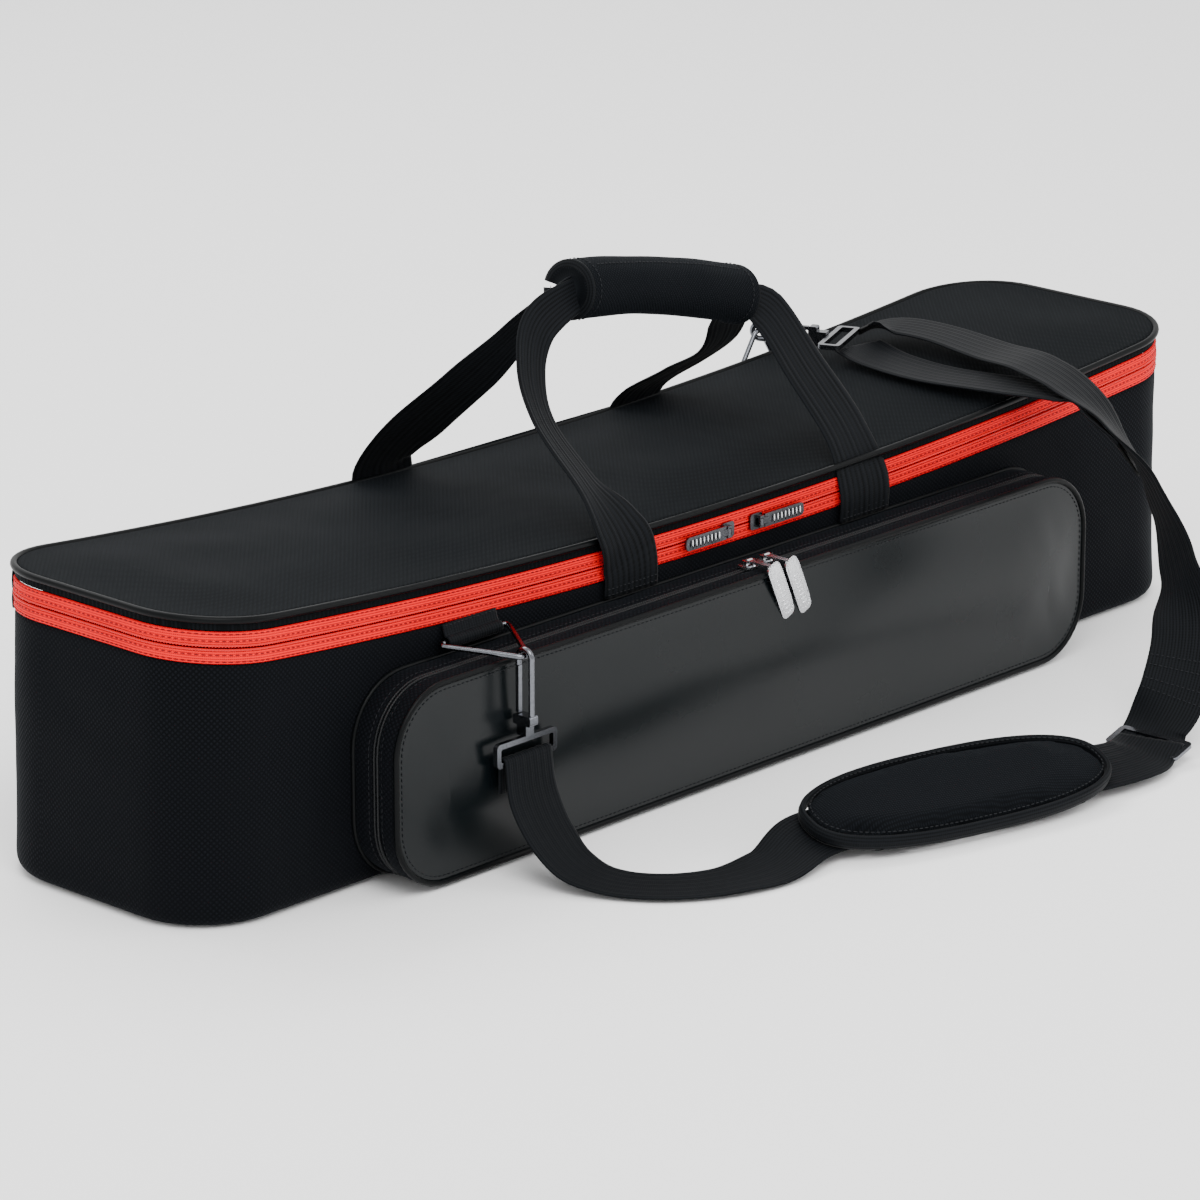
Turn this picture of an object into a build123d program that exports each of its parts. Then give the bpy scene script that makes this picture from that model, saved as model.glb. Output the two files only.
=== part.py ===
"""Long soft bag for drum sticks and slim drum hardware, in millimetres.

The frame: origin at the centre of the underside, +X along the length, the pocket on the -Y side,
+Z up.  The bag is a padded tub with a lid.  A red zip runs round the front and both ends, the
rear edge is the fabric hinge.  The rim and the lid follow one long shallow arc that dips in the
middle.
"""
from build123d import *
from math import atan2, cos, radians, sin
import os

os.makedirs("parts", exist_ok=True)

# ---- main bag ----
bag_length = 960.0
bag_depth = 205.0
corner_radius = 58.0
end_flare = 8.0            # each end wall leans out by this much at the floor
seam_height = 157.0        # zip line in the middle of the front
seam_rise = 25.0           # how much higher the zip line is at the ends
shell_thickness = 2.0      # outer fabric
foam_thickness = 4.0
lining_thickness = 1.0
board_thickness = 3.0
hinge_height = 168.0       # straight fabric hinge along the rear
hinge_gap = 0.4
binding_height = 16.0
binding_thickness = 0.8

# ---- main zip ----
tape_height = 8.0          # visible height of each tape
tape_thickness = 1.2
coil_height = 1.6          # each half of the coil
coil_proud = 0.8
coil_inside = 2.2
seam_gap = 1.0             # between the two halves of the coil
slider_length = 12.0
slider_height = 11.0
slider_plate = 1.5
slider_web = 0.6
slide_clearance = 0.4
main_slider_offset = 14.0  # each slider from the middle of the bag
main_pull_length = 44.0
main_pull_width = 9.0
pull_thickness = 1.6
pin_radius = 1.0
pin_clearance = 0.2

# ---- lid ----
lid_edge = 9.0             # from the upper tape to the top of the lid
lid_skin = 1.5
lid_lining = 1.0

# ---- pocket ----
pocket_centre = -20.0
pocket_width = 675.0
pocket_low = 4.0
pocket_high = 134.0
pocket_radius = 42.0
pocket_depth = 38.0
pocket_wall = 2.0
pocket_back_depth = 17.5
pocket_coil_width = 1.8
panel_thickness = 1.5
piping_size = 1.5
pocket_slider_x = (-13.0, 4.0)
pocket_pull_length = 42.0
pocket_pull_width = 12.0
pocket_pull_lean = 24.0

# ---- webbing and hardware ----
handle_webbing = 50.0
strap_webbing = 45.0
webbing_thickness = 2.0
handle_centre = 6.0
handle_spread = 118.0
foot_low = 138.0
grip_length = 166.0
grip_radius = 22.0
grip_bore = 17.0
grip_centre = Vector(handle_centre, -20.0, 299.0)
grip_tilt = 12.0
grip_split = 0.4
gather_width = 16.0        # how narrow each handle is folded inside the grip
ring_x = 256.0             # front ring at -ring_x, rear ring at +ring_x
ring_width = 62.0
ring_reach = 50.0
ring_wire = 1.8
ring_round = 5.0
ring_clearance = 0.5
tab_width = 50.0
tab_wall = 2.2
hook_wire = 2.0
hook_arch = 5.5
hook_spine = 37.0
loop_height = 16.0
loop_wire = 1.75
pad_length = 235.0
pad_width = 78.0
pad_thickness = 13.0
pad_centre = (-8.0, -296.0)
pad_turn = -14.0
pad_tilt = 18.0            # it leans on its strap, its far edge up
keeper_thickness = 0.8
keeper_width = 22.0
keeper_spread = 70.0

# ---- worked out from the sizes above ----
half_length = bag_length / 2
front_y = -bag_depth / 2
rear_y = bag_depth / 2
split_y = rear_y - corner_radius
body_rim = seam_height - seam_gap / 2 - coil_height - tape_height
lid_rim = seam_height + seam_gap / 2 + coil_height + tape_height
lid_top = lid_rim + lid_edge
wall = shell_thickness + foam_thickness + lining_thickness
pocket_front = front_y - pocket_depth
pocket_height = pocket_high - pocket_low
pocket_middle = (pocket_high + pocket_low) / 2
tall = lid_top + seam_rise + 40.0
reach = bag_length


def arc_lift(x):
    """Height of the long rim arc at x above its lowest point."""
    radius = (half_length**2 + seam_rise**2) / (2 * seam_rise)
    return radius - (radius**2 - x**2) ** 0.5


def envelope(inset, low=0.0, high=tall, mode=Mode.ADD):
    """Rounded outer form of the bag, moved in by inset, from low to high."""
    levels = []
    for height in (low, high):
        flare = end_flare * (1 - height / tall)
        with BuildSketch(Plane.XY.offset(height)) as level:
            RectangleRounded(
                bag_length + 2 * flare - 2 * inset, bag_depth - 2 * inset, corner_radius - inset
            )
        levels.append(level.sketch)
    loft(levels, ruled=True, mode=mode)


def arc_slab(low, high, y_from, y_to, mode=Mode.INTERSECT):
    """Everything between the rim arc at low and the rim arc at high, from y_from to y_to."""
    with BuildSketch(Plane.XZ.offset(-y_to)) as profile:
        with BuildLine():
            low_end = low + seam_rise
            high_end = high + seam_rise
            lower = ThreePointArc((-half_length, low_end), (0, low), (half_length, low_end))
            upper = ThreePointArc((-half_length, high_end), (0, high), (half_length, high_end))
            out_low = low + 2 * seam_rise
            out_high = high + 2 * seam_rise
            Polyline(lower @ 0, (-half_length - 40, out_low), (-half_length - 40, out_high), upper @ 0)
            Polyline(lower @ 1, (half_length + 40, out_low), (half_length + 40, out_high), upper @ 1)
        make_face()
    extrude(profile.sketch, amount=y_to - y_from, mode=mode)


def rear_cut(level, amount):
    """Removes everything behind the corners above (or below) one level."""
    with BuildSketch(Plane.XY.offset(level)) as behind:
        with Locations((0, split_y + reach / 2)):
            Rectangle(2 * reach, reach)
    extrude(behind.sketch, amount=amount, mode=Mode.SUBTRACT)


def cut_above_rim(front_level, rear_level):
    """Cuts the tub open: along the arc at the front and the ends, and straight at the rear."""
    arc_slab(front_level, tall + 3 * seam_rise, front_y - 50, split_y, mode=Mode.SUBTRACT)
    rear_cut(rear_level, tall)


def tub(outer, inner, floor_low, floor_high, rim, rear):
    """An open tub with walls between two insets and a floor between two heights."""
    envelope(outer, floor_low)
    envelope(inner, floor_high, tall + 1, mode=Mode.SUBTRACT)
    cut_above_rim(rim, rear)


def save(builder, name):
    """Labels a finished piece and writes its file."""
    builder.part.label = name
    export_step(builder.part, "parts/" + name + ".step")


# ---- the tub ----
with BuildPart() as body_shell:
    tub(0, shell_thickness, 0, shell_thickness, body_rim, hinge_height - hinge_gap)
save(body_shell, "body_shell")

foam_low = shell_thickness
foam_inset = shell_thickness + foam_thickness
with BuildPart() as wall_foam:
    tub(shell_thickness, foam_inset, foam_low, foam_low, body_rim, hinge_height - hinge_gap)
save(wall_foam, "wall_foam")

with BuildPart() as base_board:
    envelope(foam_inset, foam_low, foam_low + board_thickness)
save(base_board, "base_board")

lining_low = foam_low + board_thickness
with BuildPart() as body_lining:
    tub(foam_inset, wall, lining_low, lining_low + lining_thickness, body_rim, hinge_height - hinge_gap)
save(body_lining, "body_lining")

with BuildPart() as hinge_binding:
    with BuildSketch(Plane.XZ.offset(-rear_y)):
        with Locations((0, hinge_height - hinge_gap - binding_height / 2 - 1)):
            Rectangle(bag_length - 2 * corner_radius, binding_height)
    extrude(amount=-binding_thickness)
save(hinge_binding, "hinge_binding")


# ---- the lid ----
def lid_slab(inset, behind_low, front_low, high):
    """Lid-shaped slab: its underside is the arc at the front and straight at the rear."""
    with BuildPart() as slab:
        envelope(inset, hinge_height - 30)
        arc_slab(hinge_height - 60, high, front_y - 50, rear_y + 50)
        arc_slab(hinge_height - 80, front_low, front_y - 50, split_y, mode=Mode.SUBTRACT)
        rear_cut(behind_low, -tall)
    return slab.part


rear_low = hinge_height + hinge_gap
with BuildPart() as lid_cover:
    add(lid_slab(0, rear_low, lid_rim, lid_top))
    add(lid_slab(foam_inset, rear_low - 5, lid_rim - 5, lid_top - lid_skin), mode=Mode.SUBTRACT)
save(lid_cover, "lid_cover")

with BuildPart() as lid_foam:
    add(lid_slab(foam_inset, rear_low + lid_lining, lid_rim + lid_lining, lid_top - lid_skin))
save(lid_foam, "lid_foam")

with BuildPart() as lid_liner:
    add(lid_slab(foam_inset, rear_low, lid_rim, lid_top - lid_skin))
    above = lid_slab(foam_inset - 1, rear_low + lid_lining, lid_rim + lid_lining, lid_top + 5)
    add(above, mode=Mode.SUBTRACT)
save(lid_liner, "lid_liner")


# ---- main zip ----
def zip_ring(outer, inner, low, high):
    """A strip that runs round the front and both ends between two arcs."""
    envelope(outer, 60)
    envelope(inner, 50, tall + 1, mode=Mode.SUBTRACT)
    arc_slab(low, high, front_y - 50, split_y)


coil_low = seam_height - seam_gap / 2
coil_high = seam_height + seam_gap / 2
with BuildPart() as lower_zip_tape:
    zip_ring(0, tape_thickness, body_rim, coil_low - coil_height)
save(lower_zip_tape, "lower_zip_tape")

with BuildPart() as lower_zip_coil:
    zip_ring(-coil_proud, coil_inside, coil_low - coil_height, coil_low)
save(lower_zip_coil, "lower_zip_coil")

with BuildPart() as upper_zip_coil:
    zip_ring(-coil_proud, coil_inside, coil_high, coil_high + coil_height)
save(upper_zip_coil, "upper_zip_coil")

with BuildPart() as upper_zip_tape:
    zip_ring(0, tape_thickness, coil_high + coil_height, lid_rim)
save(upper_zip_tape, "upper_zip_tape")

plate_y = front_y - coil_proud - slide_clearance
web_deep = coil_proud + slide_clearance + coil_inside + slide_clearance
pin_y = plate_y - slider_plate - pin_radius - 1.2
for side, word in ((-1, "left"), (1, "right")):
    slider_x = side * main_slider_offset
    slider_z = seam_height + arc_lift(slider_x)
    with BuildPart() as main_slider:
        with BuildSketch(Plane.XZ.offset(-plate_y)):
            with Locations((slider_x, slider_z)):
                RectangleRounded(slider_length, slider_height, 2.5)
        extrude(amount=slider_plate)
        with BuildSketch(Plane.XZ.offset(-plate_y)):
            with Locations((slider_x - side * 3, slider_z)):
                Rectangle(3, slider_web)
        extrude(amount=-web_deep)
        with BuildSketch(Plane.XZ.offset(-plate_y - web_deep)):
            with Locations((slider_x - side * 1, slider_z)):
                RectangleRounded(slider_length - 2, slider_height - 3, 2)
        extrude(amount=-slider_plate)
        with BuildSketch(Plane.XZ.offset(-plate_y + slider_plate)):
            with Locations((slider_x + side * 2, slider_z + 3.2), (slider_x + side * 2, slider_z - 3.2)):
                Rectangle(4, 1.6)
        extrude(amount=2 * pin_radius + 1.4)
        with BuildSketch(Plane.XY.offset(slider_z - 4)):
            with Locations((slider_x + side * 2, pin_y)):
                Circle(pin_radius)
        extrude(amount=8)
    save(main_slider, "main_slider_" + word)

    with BuildPart() as main_pull:
        with BuildSketch(Plane.XZ.offset(-(pin_y + pull_thickness / 2))):
            with Locations((slider_x + side * (2 + main_pull_length / 2 - 2), slider_z)):
                RectangleRounded(main_pull_length, main_pull_width, 3.5)
            with Locations((slider_x + side * 2, slider_z)):
                Rectangle(12, 5, mode=Mode.SUBTRACT)
                Rectangle(2 * pin_radius + 4.2, main_pull_width, mode=Mode.SUBTRACT)
        extrude(amount=pull_thickness)
        with BuildSketch(Plane.XY.offset(slider_z - 2.2)):
            with Locations((slider_x + side * 2, pin_y)):
                Circle(pin_radius + pin_clearance + 0.7)
                Circle(pin_radius + pin_clearance, mode=Mode.SUBTRACT)
            with Locations((slider_x + side * 6, pin_y)):
                Rectangle(5.4, pull_thickness)
        extrude(amount=4.4)
    save(main_pull, "main_pull_" + word)


# ---- pocket on the front ----
def pocket_ring(offset, thickness, y_near, y_far):
    """A ring that follows the outline of the pocket between two distances from the bag."""
    with BuildSketch(Plane.XZ.offset(-y_near)) as outline:
        with Locations((pocket_centre, pocket_middle)):
            for grow, mode in ((offset, Mode.ADD), (offset - thickness, Mode.SUBTRACT)):
                RectangleRounded(
                    pocket_width + 2 * grow,
                    pocket_height + 2 * grow,
                    pocket_radius + grow,
                    mode=mode,
                )
    extrude(outline.sketch, amount=y_near - y_far)


back_edge = front_y - pocket_back_depth
coil_gap_y = back_edge - pocket_coil_width
front_coil_y = coil_gap_y - seam_gap
front_edge = front_coil_y - pocket_coil_width
coil_thick = coil_proud + coil_inside
with BuildPart() as pocket_back_gusset:
    pocket_ring(0, pocket_wall, front_y, back_edge)
save(pocket_back_gusset, "pocket_back_gusset")

with BuildPart() as pocket_back_coil:
    pocket_ring(coil_proud, coil_thick, back_edge, coil_gap_y)
save(pocket_back_coil, "pocket_back_coil")

with BuildPart() as pocket_front_coil:
    pocket_ring(coil_proud, coil_thick, front_coil_y, front_edge)
save(pocket_front_coil, "pocket_front_coil")

panel_back = pocket_front + panel_thickness
with BuildPart() as pocket_front_gusset:
    pocket_ring(0, pocket_wall, front_edge, panel_back)
save(pocket_front_gusset, "pocket_front_gusset")

with BuildPart() as pocket_panel:
    with BuildSketch(Plane.XZ.offset(-panel_back)):
        with Locations((pocket_centre, pocket_middle)):
            RectangleRounded(pocket_width, pocket_height, pocket_radius)
    extrude(amount=panel_thickness)
save(pocket_panel, "pocket_panel")

piping_front = pocket_front - piping_size
with BuildPart() as pocket_piping:
    pocket_ring(piping_size, piping_size, pocket_front + 3.0, piping_front)
save(pocket_piping, "pocket_piping")

seam_y = (coil_gap_y + front_coil_y) / 2
plate_z = pocket_high + coil_proud + slide_clearance
bridge_z = plate_z + slider_plate + pin_radius + 1.3
pull_face_y = piping_front - 0.8 - pull_thickness
for slider_x, word in zip(pocket_slider_x, ("left", "right")):
    with BuildPart() as pocket_slider:
        with BuildSketch(Plane.XY.offset(plate_z)):
            with Locations((slider_x, seam_y)):
                RectangleRounded(slider_length, slider_height, 2.5)
        extrude(amount=slider_plate)
        with BuildSketch(Plane.XY.offset(plate_z)):
            with Locations((slider_x, seam_y)):
                Rectangle(3, slider_web)
        extrude(amount=-(coil_proud + slide_clearance + 1.5))
        with BuildSketch(Plane.XY.offset(plate_z + slider_plate)):
            with Locations((slider_x - 3.6, seam_y), (slider_x + 3.6, seam_y)):
                Rectangle(1.6, 4)
        extrude(amount=2 * pin_radius + 1.6)
        with BuildSketch(Plane.YZ.offset(slider_x - 4)):
            with Locations((seam_y, bridge_z)):
                Circle(pin_radius)
        extrude(amount=8)
    save(pocket_slider, "pocket_slider_" + word)

    lean = radians(pocket_pull_lean)
    top_z = bridge_z + 0.4
    hang = Plane(
        origin=(slider_x, pull_face_y + pull_thickness, top_z),
        x_dir=(cos(lean), 0, sin(lean)),
        z_dir=(0, -1, 0),
    )
    with BuildPart() as pocket_pull:
        with BuildSketch(hang):
            with Locations((0, -pocket_pull_length / 2 + 2)):
                RectangleRounded(pocket_pull_width, pocket_pull_length, 4)
        extrude(amount=pull_thickness)
        with BuildSketch(Plane.YZ.offset(slider_x - 2.4)):
            with Locations((seam_y, bridge_z)):
                Circle(pin_radius + 1.0)
            link_far = pull_face_y + pull_thickness / 2
            with Locations(((seam_y + link_far) / 2, bridge_z + pin_radius / 2)):
                Rectangle(seam_y - link_far, pull_thickness)
            with Locations((seam_y, bridge_z)):
                Circle(pin_radius + pin_clearance, mode=Mode.SUBTRACT)
        extrude(amount=4.8)
    save(pocket_pull, "pocket_pull_" + word)


# ---- webbing ----
def webbing(route, thickness=webbing_thickness):
    """A flat strap through (point, width direction, width), as one closed solid."""
    points = [Vector(*row[0]) for row in route]
    sections = []
    for index, (point, across, width) in enumerate(route):
        before = points[max(index - 1, 0)]
        after = points[min(index + 1, len(points) - 1)]
        along = (after - before).normalized()
        side = Vector(*across)
        side = (side - along * side.dot(along)).normalized()
        with BuildSketch(Plane(origin=point, x_dir=side, z_dir=along)) as section:
            Rectangle(width, thickness)
        sections.append(section.sketch)
    loft(sections, ruled=True)


def route_length(route):
    """Length of a strap along its middle line."""
    points = [Vector(*row[0]) for row in route]
    return sum((b - a).length for a, b in zip(points[:-1], points[1:]))


tilt = radians(grip_tilt)
grip_axis = Vector(cos(tilt), 0, -sin(tilt))


def grip_point(along, rear, up):
    """A point on or beside the middle line of the grip."""
    place = grip_centre + grip_axis * along + Vector(0, rear, up)
    return (place.X, place.Y, place.Z)


def handle_route(foot_y, shoulder, elbow, lean, inside):
    """Route of one handle from its left foot through the grip to its right foot."""
    halves = []
    for end in (-1, 1):
        foot_x = handle_centre + end * handle_spread
        mouth = end * grip_length / 2
        lean_out = tuple(-end * c for c in lean)
        shoulder_point = (foot_x + end * 8, shoulder[0], shoulder[1] - end * 4)
        elbow_point = (foot_x + end * 2, elbow[0], elbow[1] - end * 9)
        elbow_across = (0.8, 0.6 * lean_out[1], 0.6 * lean_out[2])
        halves.append([
            ((foot_x, foot_y, foot_low), (1, 0, 0), handle_webbing),
            ((foot_x, foot_y, foot_low + 44), (1, 0, 0), handle_webbing),
            (shoulder_point, (1, 0, -0.15 * end), handle_webbing - 6),
            (elbow_point, elbow_across, handle_webbing - 12),
            (grip_point(mouth + end * 10, inside, -2), lean_out, gather_width + 4),
            (grip_point(mouth - end * 6, inside, -1), lean_out, gather_width),
        ])
    left, right = halves
    right = [(point, tuple(-c for c in across), width) for point, across, width in right]
    middle = [(grip_point(0, inside, -1), left[-1][1], gather_width)]
    return left + middle + right[::-1]


foot_front = front_y - coil_proud - webbing_thickness / 2 - 1.2
foot_rear = rear_y + webbing_thickness / 2 + 2.2
with BuildPart() as front_handle_strap:
    webbing(handle_route(foot_front, (-92, 216), (-62, 262), (0, 0.5, 0.86), -7))
save(front_handle_strap, "front_handle_strap")

with BuildPart() as rear_handle_strap:
    webbing(handle_route(foot_rear, (84, 214), (36, 258), (0, -0.5, 0.86), 7))
save(rear_handle_strap, "rear_handle_strap")

grip_start = Plane(
    origin=grip_centre - grip_axis * (grip_length / 2), x_dir=(0, 1, 0), z_dir=grip_axis
)
for half, name in ((-1, "grip_pad"), (1, "grip_flap")):
    with BuildPart() as grip_half:
        with BuildSketch(grip_start):
            Circle(grip_radius)
            Circle(grip_bore, mode=Mode.SUBTRACT)
            with Locations((0, half * (grip_radius + grip_split / 2))):
                Rectangle(3 * grip_radius, 2 * grip_radius, mode=Mode.INTERSECT)
        extrude(amount=grip_length)
    save(grip_half, name)


# ---- rings, hooks and their tabs ----
def ring_tab(bar_x, bar_y, bar_z, wall_y):
    """Folded webbing sewn to the wall, with a sleeve for the bar of the ring."""
    sleeve = ring_wire + ring_clearance
    out = 1 if bar_y > wall_y else -1
    with BuildSketch(Plane.YZ.offset(bar_x - tab_width / 2)) as fold:
        with Locations((bar_y, bar_z)):
            Circle(sleeve + tab_wall)
        with Locations(((wall_y + bar_y) / 2, bar_z + 3)):
            Rectangle(abs(bar_y - wall_y), 2 * (sleeve + tab_wall))
        with Locations((bar_y, bar_z)):
            Circle(sleeve, mode=Mode.SUBTRACT)
        with Locations((wall_y - out * 10, bar_z)):
            Rectangle(20, 60, mode=Mode.SUBTRACT)
    extrude(fold.sketch, amount=tab_width)


def wire_ring(plane):
    """Triangular ring: its bar lies on the plane's x axis and its tip points along +y."""
    half = ring_width / 2
    with BuildLine(plane) as path:
        corners = ((half, 0), (half - 3, 6), (0, ring_reach), (3 - half, 6), (-half, 0))
        FilletPolyline(*corners, radius=[2.4, 3.0, ring_round, 3.0, 2.4], close=True)
    with BuildSketch(Plane(origin=path.line @ 0, z_dir=path.line % 0)) as wire:
        Circle(ring_wire)
    sweep(wire.sketch, path=path.line)


def hook_body(plane):
    """Snap hook: the ring's wire passes at the origin, u points to the gate and v to the ring."""
    with BuildLine(plane) as path:
        spine = Line((-hook_arch, arch_v - hook_spine), (-hook_arch, arch_v))
        arch = ThreePointArc(spine @ 1, (0, arch_v + hook_arch), (hook_arch, arch_v))
        Line(arch @ 1, (hook_arch, arch_v - 5))
    with BuildSketch(Plane(origin=path.line @ 0, z_dir=path.line % 0)) as wire:
        Circle(hook_wire)
    sweep(wire.sketch, path=path.line)
    with BuildSketch(plane) as base:
        with Locations((0, arch_v - hook_spine - 3)):
            RectangleRounded(2 * hook_arch + 2 * hook_wire, 6.5, 1.5)
        with Locations((0, arch_v - hook_spine - 9.6)):
            Rectangle(8, 7)
    extrude(base.sketch, amount=3.6, both=True)


def hook_gate(plane):
    """Sprung gate that closes the mouth of the hook."""
    top = arch_v - 5 - ring_clearance
    low = arch_v - hook_spine + 0.25 + ring_clearance
    with BuildSketch(plane) as bar:
        with Locations((hook_arch, (top + low) / 2)):
            Rectangle(2.6, top - low)
    extrude(bar.sketch, amount=1.6, both=True)


def swivel_loop(plane):
    """Rectangular wire loop for the strap, under the hook."""
    top = arch_v - hook_spine - 13.1 - ring_clearance
    half = strap_webbing / 2 + 2 * loop_wire + 1.0
    low = top - loop_height
    across = plane.z_dir
    with BuildSketch(Plane(origin=plane.origin, x_dir=across, z_dir=across.cross(plane.y_dir))) as frame:
        with Locations((0, (top + low) / 2)):
            RectangleRounded(2 * half, loop_height, 3)
            RectangleRounded(2 * half - 4 * loop_wire, loop_height - 4 * loop_wire, 1.5, mode=Mode.SUBTRACT)
    extrude(frame.sketch, amount=loop_wire, both=True)


arch_v = ring_wire + ring_clearance - (hook_arch - hook_wire)
bar_stand = ring_wire + ring_clearance + tab_wall
front_bar = (-ring_x, front_y - bar_stand, 144.0)
front_tip_drop = 4.5
rear_bar = (ring_x, rear_y + binding_thickness + bar_stand, 154.0)
for word, bar, wall_y in (("front", front_bar, front_y), ("rear", rear_bar, rear_y + binding_thickness)):
    with BuildPart() as tab:
        ring_tab(*bar, wall_y)
    save(tab, word + "_ring_tab")

tip_angle = atan2(ring_width / 2 - 3, ring_reach - 6)
ring_tip = ring_reach - ring_round * (1 / sin(tip_angle) - 1)
tip_run = (ring_tip**2 - front_tip_drop**2) ** 0.5
front_ring_plane = Plane(
    origin=front_bar, x_dir=(-1, 0, 0), z_dir=(0, -front_tip_drop / ring_tip, tip_run / ring_tip)
)
front_tip = (front_bar[0], front_bar[1] - tip_run, front_bar[2] - front_tip_drop)
rear_ring_plane = Plane(origin=rear_bar, x_dir=(1, 0, 0), z_dir=(0, -1, 0))
rear_tip = (rear_bar[0], rear_bar[1], rear_bar[2] + ring_tip)

rear_turn = radians(66)
front_hook_plane = Plane(origin=front_tip, x_dir=(0, 1, 0), z_dir=(1, 0, 0))
rear_hook_plane = Plane(
    origin=rear_tip,
    x_dir=(0, 0, 1),
    z_dir=(-sin(rear_turn), -cos(rear_turn), 0),
)

for word, ring_plane, hook_plane in (
    ("front", front_ring_plane, front_hook_plane),
    ("rear", rear_ring_plane, rear_hook_plane),
):
    with BuildPart() as ring:
        wire_ring(ring_plane)
    save(ring, word + "_ring")
    with BuildPart() as hook:
        hook_body(hook_plane)
    save(hook, word + "_hook")
    with BuildPart() as gate:
        hook_gate(hook_plane)
    save(gate, word + "_hook_gate")
    with BuildPart() as loop:
        swivel_loop(hook_plane)
    save(loop, word + "_swivel_loop")


# ---- shoulder strap, its pad and its adjuster ----
turn = radians(pad_turn)
lean_up = radians(pad_tilt)
pad_base = keeper_thickness + webbing_thickness + 0.6
pad_height = pad_width / 2 * sin(lean_up) + pad_base
pad_axis = Vector(cos(turn), sin(turn), 0)
pad_across = Vector(-sin(turn) * cos(lean_up), cos(turn) * cos(lean_up), sin(lean_up))
pad_plane = Plane(
    origin=(*pad_centre, pad_height), x_dir=pad_axis, z_dir=pad_axis.cross(pad_across)
)
strap_under = webbing_thickness / 2 + 0.3


def under_pad(along, aside):
    """A route row for the strap where it runs through the keepers under the pad."""
    place = pad_plane.origin + pad_axis * along + pad_across * aside - pad_plane.z_dir * strap_under
    return ((place.X, place.Y, place.Z), tuple(pad_across), strap_webbing)


front_loop_low = front_tip[2] + arch_v - hook_spine - 13.1 - ring_clearance - loop_height
front_hang = front_tip[1]
lower_route = [
    ((-ring_x, front_hang, front_loop_low - 0.4), (1, 0, 0), strap_webbing),
    ((-ring_x, front_hang - 6, front_loop_low - 20), (1, 0, 0), strap_webbing),
    ((-ring_x - 2, front_hang - 22, front_loop_low - 42), (1, 0.1, 0), strap_webbing),
    ((-ring_x, front_hang - 42, 12), (1, 0.2, 0), strap_webbing),
    ((-246, -218, 3.6), (0.9, 0.45, 0), strap_webbing),
    ((-226, -246, 2.4), (0.6, 0.8, 0), strap_webbing),
    ((-195, -266, 2.8), (0.35, 0.94, 0), strap_webbing),
    ((-158, -274, 5.2), (0.25, 0.95, 0.12), strap_webbing),
    under_pad(-112, -6),
    under_pad(-70, -3),
    under_pad(0, 0),
    under_pad(70, 0),
    under_pad(120, 0),
    ((142, -325, 12), (0.1, 0.96, 0.25), strap_webbing),
    ((155, -319, 9), (0, 0.98, 0.15), strap_webbing),
]
with BuildPart() as strap_lower:
    webbing(lower_route)
save(strap_lower, "strap_lower")

upper_route = [
    ((190, -304, 13), (0.35, 0.93, 0), strap_webbing),
    ((212, -303, 36), (0.6, 0.8, 0), strap_webbing),
    ((238, -293, 70), (0.8, 0.6, 0), strap_webbing),
    ((256, -272, 108), (0.9, 0.4, 0), strap_webbing),
    ((269, -240, 146), (1, 0.2, 0), strap_webbing),
    ((283, -196, 176), (1, 0.1, 0), strap_webbing),
    ((298, -146, 196), (1, 0.1, 0), strap_webbing),
    ((312, -98, 203), (1, 0.15, 0), strap_webbing),
    ((324, -50, 200), (1, 0.1, 0), strap_webbing),
    ((331, 0, 199), (1, 0, 0), strap_webbing),
    ((328, 34, 200), (1, -0.1, 0), strap_webbing),
]
with BuildPart() as strap_upper:
    webbing(upper_route)
save(strap_upper, "strap_upper")

return_route = [
    ((288, -194, 167), (1, 0.1, 0), strap_webbing),
    ((288, -150, 186), (1, 0, 0), strap_webbing),
    ((284, -100, 193), (1, 0, 0), strap_webbing),
    ((278, -40, 190.5), (1, -0.1, 0), strap_webbing),
    ((286, 10, 190.5), (1, -0.3, 0), strap_webbing),
    ((298, 34, 191.5), (1, -0.5, 0), strap_webbing),
]
with BuildPart() as strap_return:
    webbing(return_route)
save(strap_return, "strap_return")
print("strap lengths", route_length(lower_route), route_length(upper_route), route_length(return_route))

with BuildPart() as shoulder_pad:
    with BuildSketch(pad_plane):
        SlotOverall(pad_length, pad_width)
    extrude(amount=pad_thickness)
    upright = Axis(pad_plane.origin, pad_plane.z_dir)
    fillet(shoulder_pad.faces().sort_by(upright)[-1].edges(), 4)
save(shoulder_pad, "shoulder_pad")

keeper_half = strap_webbing / 2 + 6
with BuildPart() as pad_keepers:
    for along in (-keeper_spread, keeper_spread):
        with BuildSketch(pad_plane.offset(-pad_base)):
            with Locations((along, 0)):
                Rectangle(keeper_width, 2 * keeper_half + 2)
        extrude(amount=keeper_thickness)
        with BuildSketch(pad_plane.offset(keeper_thickness - pad_base)):
            with Locations((along, keeper_half), (along, -keeper_half)):
                Rectangle(keeper_width, 2)
        extrude(amount=pad_base - keeper_thickness)
save(pad_keepers, "pad_keepers")

with BuildPart() as strap_adjuster:
    frame_plane = Plane(origin=(175, -311, 10.0), x_dir=(0.95, 0.1, 0.2), z_dir=(-0.2, -0.05, 0.97))
    with BuildSketch(frame_plane):
        RectangleRounded(24, strap_webbing + 10, 4)
        with Locations((-5, 0), (5, 0)):
            Rectangle(6, strap_webbing + 2, mode=Mode.SUBTRACT)
    extrude(amount=1.25, both=True)
save(strap_adjuster, "strap_adjuster")
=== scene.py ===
import math

import bmesh
import bpy
from mathutils import Matrix, Vector, noise


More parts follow.
